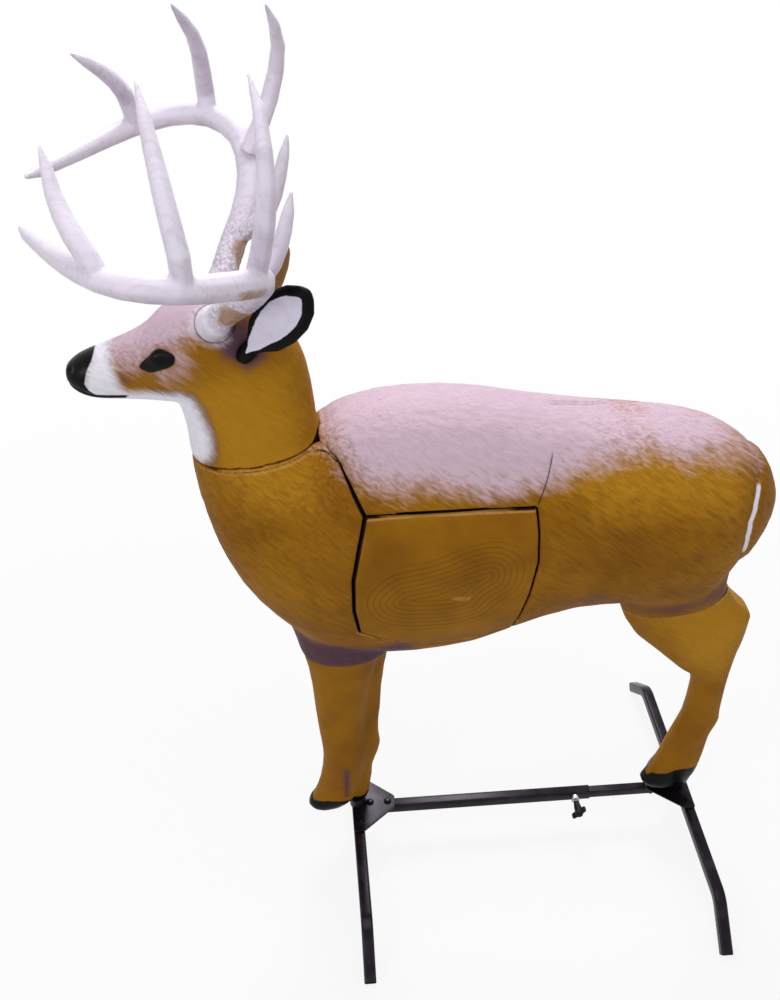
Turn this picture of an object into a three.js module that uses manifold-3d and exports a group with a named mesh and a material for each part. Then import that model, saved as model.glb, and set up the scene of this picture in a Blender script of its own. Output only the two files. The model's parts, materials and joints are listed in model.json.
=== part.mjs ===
// Archery target stand: a life-size foam buck target on its steel tube stand.
// X runs from the nose to the rump, Y from the left flank to the right one, Z is up, in millimetres.
// While it is being built, X = 0 is the front leg post and Z = 0 is the axis of the long bar.
import * as THREE from "three";
import { mergeVertices } from "three/addons/utils/BufferGeometryUtils.js";
import Module from "manifold-3d";

const wasm = await Module();
wasm.setup();

// Clearances
const seatGap = 0.3;
const slideGap = 0.3;
const holeGap = 0.4;
const socketGap = 0.6;
const seamGap = 1.6;
const cutOverrun = 12;

// Steel tube of the stand
const tubeSize = 19;
const tubeWall = 1.5;
const tubeCorner = 3.6;
const innerTubeWall = 1.2;
const innerTubeCorner = 2;
const armLength = 233;
const footLength = 87;
const footAngle = THREE.MathUtils.degToRad(40);
const bendRadius = 42;
const telescopeOverlap = 120;
const outerTubeLength = 404;
const plugCap = 2.5;
const plugDepth = 14;

// Gusset plates and their bolts
const plateThickness = 3;
const plateReach = 66;
const plateHalfSpan = 60;
const plateCorner = 9;
const plateTipMargin = 2;
const nearBoltReach = 22;
const farBoltReach = 53;
const armBoltReach = 44;
const boltDiameter = 6;
const boltHeadWidth = 10;
const boltHeadHeight = 4;
const boltNutHeight = 5;
const boltTail = 2;
const packingWidth = 14;

// Leg posts
const postDiameter = 12;
const postHeight = 115;
const rearPostHeight = 62;
const postTipChamfer = 2;
const collarDiameter = 26;
const collarHeight = 15;
const studDiameter = 8;
const studNutWidth = 13;
const studNutHeight = 6.5;
const rearPostShare = 0.6465;
const rearPostSetback = 24;
const slotTravel = 8;
const postEndRoom = 4;

// Bar lock
const lockInset = 27;
const lockDiameter = 8;
const bossDiameter = 15;
const bossHeight = 8;
const knobNeckDiameter = 9;
const knobHubDiameter = 13;
const knobHubLength = 30;
const knobTaper = 11;
const knobWingSpan = 30;
const knobWingDepth = 13;
const knobWingThickness = 8;
const knobStandOff = 3;
const knobTilt = THREE.MathUtils.degToRad(45);

// Foam target
const bodyLength = 860;
const bodyWidth = 240;
const withersHeight = 826;
const spigotLength = 55;
const spigotRootDepth = 14;
const spigotFront = [58, 44];
const spigotRear = [84, 54];
const upperDowelDiameter = 12;
const upperDowelReach = 80;
const upperDowelSpread = 44;
const lowerDowelDiameter = 8;
const lowerDowelReach = 18;
const lowerDowelSpread = 24;
const neckPegDiameter = 32;
const neckPegReach = 70;

// Head fittings
const earLength = 150;
const earWidth = 66;
const earThickness = 20;
const earRim = 6;
const earLeastHalf = 2;
const earRootDiameter = 22;
const earRootDepth = 12;
const antlerRootDiameter = 40;
const antlerRootDepth = 10;
const antlerPegDiameter = 14;
const antlerPegLength = 26;
const beamDiameter = 35;
const beamTipDiameter = 15;
const tineDiameter = 25;
const tineTipDiameter = 9;
const antlerBurr = 12;
const antlerTakeOff = 80;
const eyeSize = [30, 16, 18];

// Places that follow from the driving sizes
const tubeHalf = tubeSize / 2;
const innerTubeSize = tubeSize - 2 * tubeWall - 2 * slideGap;
const plateBottom = tubeHalf + seatGap;
const plateTop = plateBottom + plateThickness;
const collarBottom = plateTop + seatGap;
const collarTop = collarBottom + collarHeight;
const soleHeight = collarTop + seatGap;
const rearPostX = rearPostShare * bodyLength;
const rearCrossbarX = rearPostX + rearPostSetback;
const outsideX = 2 * bodyLength;
const outsideY = 4 * bodyWidth;
const outsideZ = 2 * withersHeight;
const outerTubeStart = tubeHalf + seatGap;
const outerTubeEnd = outerTubeStart + outerTubeLength;
const lockX = outerTubeEnd - lockInset;

// Side outline of the barrel as rings from the rump to the neck seam. Each row is the top point,
// the bottom point and the half width: X in body lengths, Z in withers heights above the soles,
// Y in body widths.
const barrelShares = [
  [0.719, 0.77, 0.717, 0.734, 0.06],
  [0.708, 0.801, 0.705, 0.707, 0.15],
  [0.692, 0.833, 0.686, 0.668, 0.24],
  [0.665, 0.864, 0.655, 0.628, 0.33],
  [0.631, 0.891, 0.624, 0.58, 0.4],
  [0.588, 0.913, 0.595, 0.552, 0.44],
  [0.529, 0.928, 0.537, 0.55, 0.47],
  [0.465, 0.937, 0.471, 0.557, 0.48],
  [0.384, 0.949, 0.39, 0.555, 0.48],
  [0.302, 0.965, 0.305, 0.526, 0.48],
  [0.221, 0.985, 0.221, 0.485, 0.487],
  [0.151, 0.994, 0.142, 0.469, 0.495],
  [0.081, 0.994, 0.065, 0.465, 0.495],
  [0.026, 0.985, -0.01, 0.474, 0.483],
  [-0.014, 0.969, -0.07, 0.502, 0.47],
  [-0.041, 0.95, -0.114, 0.545, 0.45],
  [-0.05, 0.939, -0.152, 0.59, 0.425],
  [-0.052, 0.932, -0.186, 0.644, 0.4],
  [-0.053, 0.927, -0.216, 0.717, 0.375],
  [-0.053, 0.927, -0.236, 0.801, 0.346],
  [-0.053, 0.935, -0.245, 0.862, 0.315],
  [-0.055, 0.961, -0.25, 0.949, 0.275],
];

// Stub of the chest that the front leg plugs into, and the thighs above the rear leg.
const chestStubShares = [
  [-0.12, 0.547, 0.078, 0.547, 0.258],
  [-0.106, 0.499, 0.072, 0.499, 0.233],
  [-0.094, 0.44, 0.064, 0.44, 0.217],
];
const thighShares = [
  [0.442, 0.674, 0.669, 0.68, 0.35],
  [0.46, 0.608, 0.671, 0.626, 0.317],
  [0.474, 0.553, 0.671, 0.577, 0.275],
  [0.484, 0.505, 0.674, 0.525, 0.233],
];

// Neck rings, rear point first, and head rings from the poll to the nose, top point first.
const neckShares = [
  [-0.051, 0.892, -0.247, 0.877, 0.279],
  [-0.05, 0.949, -0.249, 0.935, 0.267],
  [-0.052, 0.995, -0.251, 0.977, 0.254],
  [-0.058, 1.044, -0.258, 1.01, 0.242],
  [-0.067, 1.086, -0.258, 1.038, 0.233],
  [-0.087, 1.122, -0.238, 1.074, 0.208],
  [-0.116, 1.143, -0.209, 1.11, 0.15],
];
const headShares = [
  [-0.084, 1.116, -0.084, 1.062, 0.108],
  [-0.099, 1.155, -0.099, 1.038, 0.183],
  [-0.14, 1.183, -0.14, 1.017, 0.217],
  [-0.186, 1.195, -0.186, 1.01, 0.229],
  [-0.233, 1.189, -0.233, 1.01, 0.225],
  [-0.27, 1.165, -0.265, 1.012, 0.2],
  [-0.297, 1.138, -0.297, 1.015, 0.163],
  [-0.326, 1.123, -0.326, 1.017, 0.138],
  [-0.36, 1.109, -0.36, 1.019, 0.125],
  [-0.39, 1.097, -0.39, 1.024, 0.113],
  [-0.41, 1.085, -0.409, 1.036, 0.087],
  [-0.42, 1.073, -0.419, 1.051, 0.05],
];

// Legs, front point first. Each moulding is two legs side by side, run into one another.
const frontLeftShares = [
  [-0.092, 0.45, 0.05, 0.45, 0.14],
  [-0.083, 0.406, 0.035, 0.406, 0.13],
  [-0.077, 0.33, 0.021, 0.33, 0.117],
  [-0.072, 0.257, 0.014, 0.257, 0.108],
  [-0.066, 0.196, 0.012, 0.196, 0.108],
  [-0.064, 0.16, 0.016, 0.16, 0.113],
  [-0.07, 0.102, 0.007, 0.102, 0.104],
  [-0.078, 0.066, 0.003, 0.068, 0.107],
  [-0.088, 0.037, -0.003, 0.044, 0.112],
  [-0.1, 0.02, -0.009, 0.034, 0.108],
  [-0.09, 0.009, -0.015, 0.026, 0.09],
];
const frontRightShares = [
  [-0.047, 0.45, 0.07, 0.45, 0.14],
  [-0.042, 0.406, 0.061, 0.406, 0.13],
  [-0.035, 0.33, 0.052, 0.33, 0.117],
  [-0.03, 0.257, 0.048, 0.257, 0.108],
  [-0.028, 0.196, 0.044, 0.196, 0.108],
  [-0.028, 0.16, 0.048, 0.16, 0.113],
  [-0.028, 0.136, 0.044, 0.136, 0.11],
  [-0.03, 0.102, 0.033, 0.102, 0.104],
  [-0.04, 0.058, 0.03, 0.058, 0.104],
  [-0.047, 0.027, 0.026, 0.027, 0.113],
  [-0.047, 0.002, 0.024, 0.002, 0.1],
];
const rearLeftShares = [
  [0.478, 0.53, 0.67, 0.563, 0.175],
  [0.49, 0.492, 0.697, 0.516, 0.167],
  [0.516, 0.447, 0.732, 0.481, 0.154],
  [0.566, 0.396, 0.729, 0.421, 0.133],
  [0.614, 0.346, 0.72, 0.37, 0.117],
  [0.641, 0.329, 0.716, 0.33, 0.106],
  [0.648, 0.292, 0.714, 0.288, 0.1],
  [0.646, 0.226, 0.714, 0.228, 0.095],
  [0.639, 0.188, 0.717, 0.19, 0.092],
  [0.627, 0.153, 0.705, 0.15, 0.09],
  [0.618, 0.117, 0.702, 0.112, 0.09],
  [0.609, 0.078, 0.698, 0.07, 0.092],
  [0.599, 0.043, 0.692, 0.036, 0.098],
  [0.581, 0.015, 0.684, 0.018, 0.1],
  [0.588, 0.003, 0.682, 0.002, 0.09],
];
const rearRightShares = [
  [0.478, 0.53, 0.67, 0.563, 0.175],
  [0.49, 0.492, 0.697, 0.516, 0.167],
  [0.516, 0.447, 0.732, 0.481, 0.154],
  [0.566, 0.396, 0.729, 0.421, 0.133],
  [0.614, 0.346, 0.72, 0.37, 0.117],
  [0.643, 0.329, 0.716, 0.33, 0.106],
  [0.656, 0.288, 0.714, 0.288, 0.1],
  [0.654, 0.226, 0.714, 0.228, 0.095],
  [0.651, 0.188, 0.717, 0.19, 0.092],
  [0.642, 0.153, 0.705, 0.15, 0.09],
  [0.63, 0.113, 0.702, 0.112, 0.09],
  [0.622, 0.078, 0.698, 0.07, 0.092],
  [0.613, 0.045, 0.692, 0.036, 0.098],
  [0.6, 0.019, 0.684, 0.018, 0.1],
  [0.602, 0.003, 0.682, 0.002, 0.09],
];
const frontLegOffsetShare = 0.055;
const rearLegOffsetShare = 0.033;

// Seams of the body in the side view, as shares of body length and withers height.
const neckSeamShares = [
  [-0.4, 0.905],
  [-0.248, 0.91],
  [-0.15, 0.917],
  [-0.051, 0.932],
];
const shoulderSeamShares = [
  [-0.051, 0.932],
  [-0.036, 0.936],
  [-0.019, 0.926],
  [-0.004, 0.895],
  [0.017, 0.845],
  [0.008, 0.795],
  [-0.004, 0.72],
  [-0.003, 0.65],
  [0.006, 0.59],
];
const napeShares = [-0.046, 0.934];
const insertCorner = 4;
const insertTopShares = [
  [0.017, 0.845],
  [0.1, 0.851],
  [0.197, 0.849],
  [0.287, 0.845],
];
const insertRearShares = [
  [0.287, 0.845],
  [0.293, 0.796],
  [0.295, 0.736],
  [0.286, 0.659],
  [0.272, 0.578],
];
const insertLipShares = [
  [0.006, 0.59],
  [0.057, 0.562],
  [0.124, 0.545],
  [0.192, 0.544],
  [0.272, 0.578],
];
const bellySeamShares = [
  [0.272, 0.578],
  [0.262, 0.3],
];
const upperDowelShares = [0.006, 0.87];
const lowerDowelShares = [0.267, 0.543];
const neckPegShares = [-0.15, 0.917];
const frontLegSeamShares = [
  [-0.2, 0.45],
  [0.2, 0.45],
];
const rearLegSeamShares = [
  [0.4, 0.5],
  [0.75, 0.565],
];
const frontSpigotShare = -0.016;
const rearSpigotShare = 0.594;
const eyeShares = [-0.275, 0.165, 1.112];

// Where along its length an ear's leaf is how wide, and where its cup starts and ends.
const earProfileShares = [
  [0, 0.2],
  [0.12, 0.36],
  [0.3, 0.82],
  [0.5, 1],
  [0.7, 0.97],
  [0.86, 0.74],
  [0.96, 0.38],
  [1, 0.1],
];
const cupStartShare = 0.12;
const cupLengthShare = 0.92;
const earFacingShares = [-0.45, 1, 0.1];
const tipRoundShare = 0.4;

// Antlers as curves, in shares of body length, body width and withers height.
const leftBeamShares = [
  [-0.192, -0.175, 1.163],
  [-0.17, -0.258, 1.196],
  [-0.133, -0.417, 1.243],
  [-0.114, -0.583, 1.29],
  [-0.131, -0.742, 1.308],
  [-0.158, -0.875, 1.325],
  [-0.186, -0.979, 1.338],
  [-0.23, -1.062, 1.351],
  [-0.277, -1.021, 1.353],
  [-0.312, -0.938, 1.354],
  [-0.355, -0.742, 1.351],
  [-0.391, -0.521, 1.346],
  [-0.428, -0.275, 1.34],
];
const leftTineShares = [
  [
    [-0.121, -0.625, 1.306],
    [-0.108, -0.733, 1.37],
    [-0.099, -0.771, 1.442],
    [-0.1, -0.742, 1.492],
    [-0.104, -0.646, 1.535],
    [-0.114, -0.546, 1.564],
  ],
  [
    [-0.204, -1.021, 1.348],
    [-0.204, -1.042, 1.386],
    [-0.213, -0.983, 1.439],
    [-0.227, -0.833, 1.503],
    [-0.243, -0.629, 1.566],
  ],
  [
    [-0.302, -0.962, 1.353],
    [-0.312, -0.933, 1.375],
    [-0.331, -0.867, 1.403],
    [-0.349, -0.758, 1.432],
    [-0.358, -0.675, 1.465],
    [-0.365, -0.625, 1.491],
  ],
  [
    [-0.133, -0.375, 1.247],
    [-0.104, -0.4, 1.283],
    [-0.083, -0.4, 1.335],
    [-0.07, -0.383, 1.392],
  ],
];
const rightBeamShares = [
  [-0.192, 0.175, 1.163],
  [-0.176, 0.27, 1.19],
  [-0.162, 0.417, 1.216],
  [-0.144, 0.542, 1.249],
  [-0.133, 0.646, 1.286],
  [-0.134, 0.758, 1.318],
  [-0.146, 0.867, 1.341],
  [-0.17, 0.958, 1.355],
  [-0.201, 1.025, 1.361],
  [-0.245, 1.062, 1.358],
  [-0.292, 1.021, 1.351],
  [-0.332, 0.938, 1.343],
  [-0.37, 0.771, 1.34],
  [-0.411, 0.5, 1.344],
  [-0.444, 0.275, 1.349],
];
const rightTineShares = [
  [
    [-0.133, 0.69, 1.33],
    [-0.105, 0.742, 1.384],
    [-0.089, 0.771, 1.429],
    [-0.08, 0.742, 1.472],
    [-0.08, 0.658, 1.516],
    [-0.093, 0.546, 1.564],
  ],
  [
    [-0.192, 1.0, 1.358],
    [-0.194, 1.033, 1.389],
    [-0.195, 0.95, 1.439],
    [-0.198, 0.854, 1.488],
    [-0.209, 0.75, 1.524],
    [-0.224, 0.629, 1.561],
  ],
  [
    [-0.305, 0.992, 1.348],
    [-0.309, 0.95, 1.381],
    [-0.317, 0.883, 1.419],
    [-0.334, 0.8, 1.449],
    [-0.352, 0.717, 1.473],
    [-0.372, 0.625, 1.495],
  ],
  [
    [-0.155, 0.417, 1.224],
    [-0.11, 0.383, 1.264],
    [-0.088, 0.392, 1.319],
    [-0.071, 0.383, 1.391],
  ],
];
const leftEarShares = { root: [-0.147, -0.2, 1.118], tip: [-0.051, -0.458, 1.256] };
const rightEarShares = { root: [-0.147, 0.2, 1.118], tip: [-0.088, 0.708, 1.153] };

// Counts
const ringSides = 22;
const headSides = 18;
const stubSides = 16;
const limbSides = 12;
const barrelRings = 32;
const stubRings = 3;
const thighRings = 7;
const limbRings = 15;
const neckRings = 8;
const headRings = 16;
const eyeRings = 8;
const beamSides = 9;
const tineSides = 7;
const beamRings = 22;
const tineRings = 7;
const roundSides = 16;
const boltSides = 12;
const hexSides = 6;
const bendSteps = 3;
const cornerSteps = 2;
const boreSteps = 1;
const barrelPower = 2.3;
const limbPower = 2.2;
const headPower = 2.2;
const taperPower = 2.2;
const mergeDistance = 0.001;

// Colours, roughness and metalness of the materials
const finishes = {
  foam: { color: 0x8a5a12, roughness: 0.75, metalness: 0 },
  saddle: { color: 0xa9806c, roughness: 0.8, metalness: 0 },
  insert: { color: 0x855210, roughness: 0.75, metalness: 0 },
  ear: { color: 0x2a2424, roughness: 0.8, metalness: 0 },
  antler: { color: 0xe2dbe4, roughness: 0.45, metalness: 0 },
  black: { color: 0x17131a, roughness: 0.35, metalness: 0.5 },
  zinc: { color: 0xb9b6bd, roughness: 0.35, metalness: 0.9 },
  plastic: { color: 0x111114, roughness: 0.5, metalness: 0 },
  wood: { color: 0xb08a5c, roughness: 0.7, metalness: 0 },
};

// A point of the target from its shares of body length, body width and withers height.
function targetPoint(x, y, z) {
  return new THREE.Vector3(x * bodyLength, y * bodyWidth, soleHeight + z * withersHeight);
}

// The signed volume of a closed triangle list says which way its faces look.
function signedVolume(points, triangles) {
  let volume = 0;
  for (let i = 0; i < triangles.length; i += 3) {
    const [a, b, c] = [0, 1, 2].map((k) => points[triangles[i + k]]);
    volume += a.dot(new THREE.Vector3().crossVectors(b, c));
  }
  return volume;
}

// A closed skin over rings of equal point counts, with a fan over each end ring.
function loft(rings) {
  const points = rings.flat();
  const sides = rings[0].length;
  const triangles = [];
  for (let r = 0; r + 1 < rings.length; r++) {
    for (let s = 0; s < sides; s++) {
      const a = r * sides + s;
      const b = r * sides + ((s + 1) % sides);
      triangles.push(a, b, a + sides, b, b + sides, a + sides);
    }
  }
  const ends = [rings[0], rings[rings.length - 1]];
  ends.forEach((ring, end) => {
    const middle = new THREE.Vector3();
    ring.forEach((p) => middle.addScaledVector(p, 1 / sides));
    const first = end * (rings.length - 1) * sides;
    for (let s = 0; s < sides; s++) {
      const a = first + s;
      const b = first + ((s + 1) % sides);
      triangles.push(...(end ? [a, b, points.length] : [b, a, points.length]));
    }
    points.push(middle);
  });
  if (signedVolume(points, triangles) < 0) triangles.reverse();
  const geometry = new THREE.BufferGeometry().setFromPoints(points);
  geometry.setIndex(triangles);
  return solid(geometry);
}

// A geometry as a solid that can be joined and cut.
function solid(source) {
  const geometry = source.clone();
  geometry.deleteAttribute("normal");
  geometry.deleteAttribute("uv");
  const merged = mergeVertices(geometry, mergeDistance);
  return new wasm.Manifold(
    new wasm.Mesh({
      numProp: 3,
      vertProperties: merged.attributes.position.array,
      triVerts: new Uint32Array(merged.index.array),
    }),
  );
}

function placed(geometry, matrix) {
  return solid(geometry.clone().applyMatrix4(matrix));
}

// A solid back as a geometry.
function geometryOf(shape) {
  const mesh = shape.getMesh();
  const geometry = new THREE.BufferGeometry();
  const positions = new Float32Array(mesh.numVert * 3);
  for (let i = 0; i < mesh.numVert; i++) {
    for (let k = 0; k < 3; k++) positions[3 * i + k] = mesh.vertProperties[mesh.numProp * i + k];
  }
  geometry.setAttribute("position", new THREE.BufferAttribute(positions, 3));
  geometry.setIndex(new THREE.BufferAttribute(new Uint32Array(mesh.triVerts), 1));
  geometry.computeVertexNormals();
  return geometry;
}

const target = new THREE.Group();

function addPiece(name, shape, finish) {
  const material = new THREE.MeshStandardMaterial(finishes[finish]);
  const mesh = new THREE.Mesh(geometryOf(shape), material);
  mesh.name = name;
  target.add(mesh);
}

// A round bar between two points; sides lie outside a true circle by less than a clearance.
function rod(from, to, diameter, sides = roundSides) {
  const along = new THREE.Vector3().subVectors(to, from);
  const geometry = new THREE.CylinderGeometry(diameter / 2, diameter / 2, along.length(), sides);
  const turn = new THREE.Quaternion().setFromUnitVectors(
    new THREE.Vector3(0, 1, 0),
    along.clone().normalize(),
  );
  const middle = new THREE.Vector3().addVectors(from, to).multiplyScalar(0.5);
  return placed(geometry, new THREE.Matrix4().compose(middle, turn, new THREE.Vector3(1, 1, 1)));
}

function box(centre, size) {
  const geometry = new THREE.BoxGeometry(...size);
  return placed(geometry, new THREE.Matrix4().makeTranslation(...centre));
}

function at(x, y, z) {
  return new THREE.Vector3(x, y, z);
}

// A prism across the whole width over an outline in the side view.
function sidePrism(outline) {
  const shape = new THREE.Shape(outline.map(([x, z]) => new THREE.Vector2(x, z)));
  const geometry = new THREE.ExtrudeGeometry(shape, { depth: outsideY, bevelEnabled: false });
  geometry.rotateX(Math.PI / 2);
  geometry.translate(0, outsideY / 2, 0);
  return solid(geometry);
}

function sideLine(shares) {
  return shares.map(([x, z]) => [x * bodyLength, soleHeight + z * withersHeight]);
}

// A thin slab across the whole width along a line in the side view, a little past both its ends.
function seam(line, width = seamGap) {
  const left = [];
  const right = [];
  const last = line.length - 1;
  line.forEach(([x, z], i) => {
    const before = line[Math.max(i - 1, 0)];
    const after = line[Math.min(i + 1, last)];
    const way = new THREE.Vector2(after[0] - before[0], after[1] - before[1]).normalize();
    const along = way.clone().multiplyScalar(i === last ? width : i === 0 ? -width : 0);
    const across = new THREE.Vector2(-way.y, way.x).multiplyScalar(width / 2);
    left.push([x + along.x + across.x, z + along.y + across.y]);
    right.push([x + along.x - across.x, z + along.y - across.y]);
  });
  return sidePrism([...left, ...right.reverse()]);
}

// A ring of a rounded section between two outline points, with its half width along Y.
function pairRing(upper, lower, half, sides, power) {
  const centre = new THREE.Vector3().addVectors(upper, lower).multiplyScalar(0.5);
  const reach = new THREE.Vector3().subVectors(upper, lower).multiplyScalar(0.5);
  const rounded = (value) => Math.sign(value) * Math.abs(value) ** (2 / power);
  return Array.from({ length: sides }, (_, k) => {
    const turn = (2 * Math.PI * (k + 0.5)) / sides;
    const point = centre.clone().addScaledVector(reach, rounded(Math.cos(turn)));
    point.y += half * rounded(Math.sin(turn));
    return point;
  });
}

// A smooth body through rows of outline pairs, shifted sideways by a share of the width.
function pairLoft(rows, count, sides, power, sideShare = 0) {
  const line = (x, z) => new THREE.CatmullRomCurve3(rows.map((row) => at(row[x], row[4], row[z])));
  const upperLine = line(0, 1);
  const lowerLine = line(2, 3);
  const rings = Array.from({ length: count }, (_, i) => {
    const upper = upperLine.getPoint(i / (count - 1));
    const lower = lowerLine.getPoint(i / (count - 1));
    const half = upper.y * bodyWidth;
    const ends = [upper, lower].map((p) => targetPoint(p.x, sideShare, p.z));
    return pairRing(ends[0], ends[1], half, sides, power);
  });
  return loft(rings);
}

// Square tube section with rounded corners.
function squareSection(size, corner, steps = cornerSteps) {
  const flat = size / 2 - corner;
  const points = [];
  for (let side = 0; side < 4; side++) {
    const start = (side * Math.PI) / 2;
    const centre = [
      flat * Math.sign(Math.cos(start + Math.PI / 4)),
      flat * Math.sign(Math.sin(start + Math.PI / 4)),
    ];
    for (let k = 0; k <= steps; k++) {
      const turn = start + (k * Math.PI) / 2 / steps;
      points.push([centre[0] + corner * Math.cos(turn), centre[1] + corner * Math.sin(turn)]);
    }
  }
  return points;
}

// A section swept along points that lie in a plane square to the direction across.
function sweep(points, section, across) {
  const rings = points.map((p, i) => {
    const before = points[Math.max(i - 1, 0)];
    const after = points[Math.min(i + 1, points.length - 1)];
    const way = new THREE.Vector3().subVectors(after, before).normalize();
    const up = new THREE.Vector3().crossVectors(across, way);
    return section.map(([a, b]) => p.clone().addScaledVector(across, a).addScaledVector(up, b));
  });
  return loft(rings);
}

const alongX = at(1, 0, 0);
const alongY = at(0, 1, 0);
const boltNut = { width: boltHeadWidth, height: boltNutHeight, bore: boltDiameter };
const studNut = { width: studNutWidth, height: studNutHeight, bore: studDiameter };

// The centre line of a crossbar, whose ends bend down to the ground.
function crossbarLine(x, extra) {
  const half = [];
  const bendReach = bendRadius * Math.tan(footAngle / 2);
  const start = armLength - bendReach;
  for (let k = 0; k <= bendSteps; k++) {
    const turn = (k * footAngle) / bendSteps;
    const y = start + bendRadius * Math.sin(turn);
    half.push([y, -bendRadius * (1 - Math.cos(turn))]);
  }
  const straight = footLength - bendReach + extra;
  const [y, z] = half[half.length - 1];
  half.push([y + straight * Math.cos(footAngle), z - straight * Math.sin(footAngle)]);
  const right = half.map(([py, pz]) => at(x, py, pz));
  const left = half.map(([py, pz]) => at(x, -py, pz)).reverse();
  return [...left, ...right];
}

function footDirection(side) {
  return at(0, side * Math.cos(footAngle), -Math.sin(footAngle));
}

// Bolt hole straight down through whatever stands there.
function downHole(x, y, diameter) {
  const width = diameter + 2 * holeGap;
  return rod(at(x, y, -tubeSize), at(x, y, plateTop + cutOverrun), width, boltSides);
}

function crossbar(x, holes) {
  const outer = sweep(crossbarLine(x, 0), squareSection(tubeSize, tubeCorner), alongX);
  const section = squareSection(tubeSize - 2 * tubeWall, tubeCorner - tubeWall, boreSteps);
  const inner = sweep(crossbarLine(x, cutOverrun), section, alongX);
  return holes.reduce((shape, hole) => shape.subtract(hole), outer.subtract(inner));
}

// A push-in end plug, its cap over the tube's end and its shank in the bore.
function endPlug(x, side) {
  const line = crossbarLine(x, 0);
  const end = side > 0 ? line[line.length - 1] : line[0];
  const way = footDirection(side);
  const step = (distance) => end.clone().addScaledVector(way, distance);
  const shank = tubeSize - 2 * tubeWall - 2 * slideGap;
  const cap = sweep(
    [step(seatGap), step(seatGap + plugCap)],
    squareSection(tubeSize, tubeCorner),
    alongX,
  );
  const stem = sweep(
    [step(-plugDepth), step(seatGap + plugCap / 2)],
    squareSection(shank, tubeCorner - tubeWall, boreSteps),
    alongX,
  );
  return cap.add(stem);
}

// A gusset plate over the corner of a crossbar and the long bar; side 1 points to the rear.
function gussetPlate(x, side, holes) {
  const back = -tubeHalf;
  const tip = tubeHalf + plateTipMargin;
  const outline = [
    [back, -plateHalfSpan],
    [plateCorner, -plateHalfSpan],
    [plateReach, -tip],
    [plateReach, tip],
    [plateCorner, plateHalfSpan],
    [back, plateHalfSpan],
  ];
  const shape = new THREE.Shape(outline.map(([a, b]) => new THREE.Vector2(x + side * a, b)));
  const geometry = new THREE.ExtrudeGeometry(shape, { depth: plateThickness, bevelEnabled: false });
  geometry.translate(0, 0, plateBottom);
  return holes.reduce((plate, hole) => plate.subtract(hole), solid(geometry));
}

function hexBlock(x, y, bottom, height, width) {
  const across = width / Math.cos(Math.PI / hexSides);
  return rod(at(x, y, bottom), at(x, y, bottom + height), across, hexSides);
}

// A bolt through plate and tube, its head on the plate.
function bolt(x, y, bottomTube) {
  const headBottom = plateTop + seatGap;
  const end = -bottomTube / 2 - seatGap - boltNutHeight - boltTail;
  const head = hexBlock(x, y, headBottom, boltHeadHeight, boltHeadWidth);
  const shank = rod(at(x, y, end), at(x, y, headBottom + boltHeadHeight / 2), boltDiameter, boltSides);
  return head.add(shank);
}

// A nut up against the underside of a tube.
function nut(x, y, bottomTube, { width, height, bore }) {
  const top = -bottomTube / 2 - seatGap;
  const [low, high] = [at(x, y, top - height - cutOverrun), at(x, y, top + cutOverrun)];
  const hole = rod(low, high, bore + holeGap, boltSides);
  return hexBlock(x, y, top - height, height, width).subtract(hole);
}

// A leg post with its collar on the plate and its threaded stud through plate and tube.
function legPost(x, height, bottomTube) {
  const top = collarTop + height;
  const stud = -bottomTube / 2 - seatGap - studNutHeight - boltTail;
  const profile = [
    [0, stud],
    [studDiameter / 2, stud],
    [studDiameter / 2, collarBottom],
    [collarDiameter / 2, collarBottom],
    [collarDiameter / 2, collarTop],
    [postDiameter / 2, collarTop],
    [postDiameter / 2, top - postTipChamfer],
    [postDiameter / 2 - postTipChamfer, top],
    [0, top],
  ];
  const points = profile.map(([r, z]) => new THREE.Vector2(r, z));
  const geometry = new THREE.LatheGeometry(points, roundSides);
  geometry.rotateX(Math.PI / 2);
  geometry.translate(x, 0, 0);
  return solid(geometry);
}

function buildFrontStand() {
  const armBolts = [-armBoltReach, armBoltReach];
  const barBolts = [nearBoltReach, farBoltReach];
  const studHole = downHole(0, 0, studDiameter);
  const armHoles = armBolts.map((y) => downHole(0, y, boltDiameter));
  const barHoles = barBolts.map((x) => downHole(x, 0, boltDiameter));
  addPiece("front_crossbar", crossbar(0, [studHole, ...armHoles]), "black");
  addPiece("front_gusset_plate", gussetPlate(0, 1, [studHole, ...armHoles, ...barHoles]), "black");

  const outer = sweep(
    [at(outerTubeStart, 0, 0), at(outerTubeEnd, 0, 0)],
    squareSection(tubeSize, tubeCorner),
    alongY,
  );
  const bore = sweep(
    [at(outerTubeStart - cutOverrun, 0, 0), at(outerTubeEnd + cutOverrun, 0, 0)],
    squareSection(tubeSize - 2 * tubeWall, tubeCorner - tubeWall, boreSteps),
    alongY,
  );
  const lockHole = rod(at(lockX, -tubeSize, 0), at(lockX, 0, 0), lockDiameter + 2 * holeGap);
  const holes = [...barHoles, lockHole];
  const tube = holes.reduce((shape, hole) => shape.subtract(hole), outer.subtract(bore));
  addPiece("outer_bar_tube", tube, "black");

  armBolts.forEach((y, i) => {
    addPiece(`front_arm_bolt_${i + 1}`, bolt(0, y, tubeSize), "black");
    addPiece(`front_arm_nut_${i + 1}`, nut(0, y, tubeSize, boltNut), "black");
  });
  barBolts.forEach((x, i) => {
    addPiece(`front_bar_bolt_${i + 1}`, bolt(x, 0, tubeSize), "black");
    addPiece(`front_bar_nut_${i + 1}`, nut(x, 0, tubeSize, boltNut), "black");
  });
  addPiece("front_leg_post", legPost(0, postHeight, tubeSize), "black_steel");
  addPiece("front_post_nut", nut(0, 0, tubeSize, studNut), "zinc");
  addPiece("front_left_plug", endPlug(0, -1), "plastic");
  addPiece("front_right_plug", endPlug(0, 1), "plastic");
}

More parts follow.
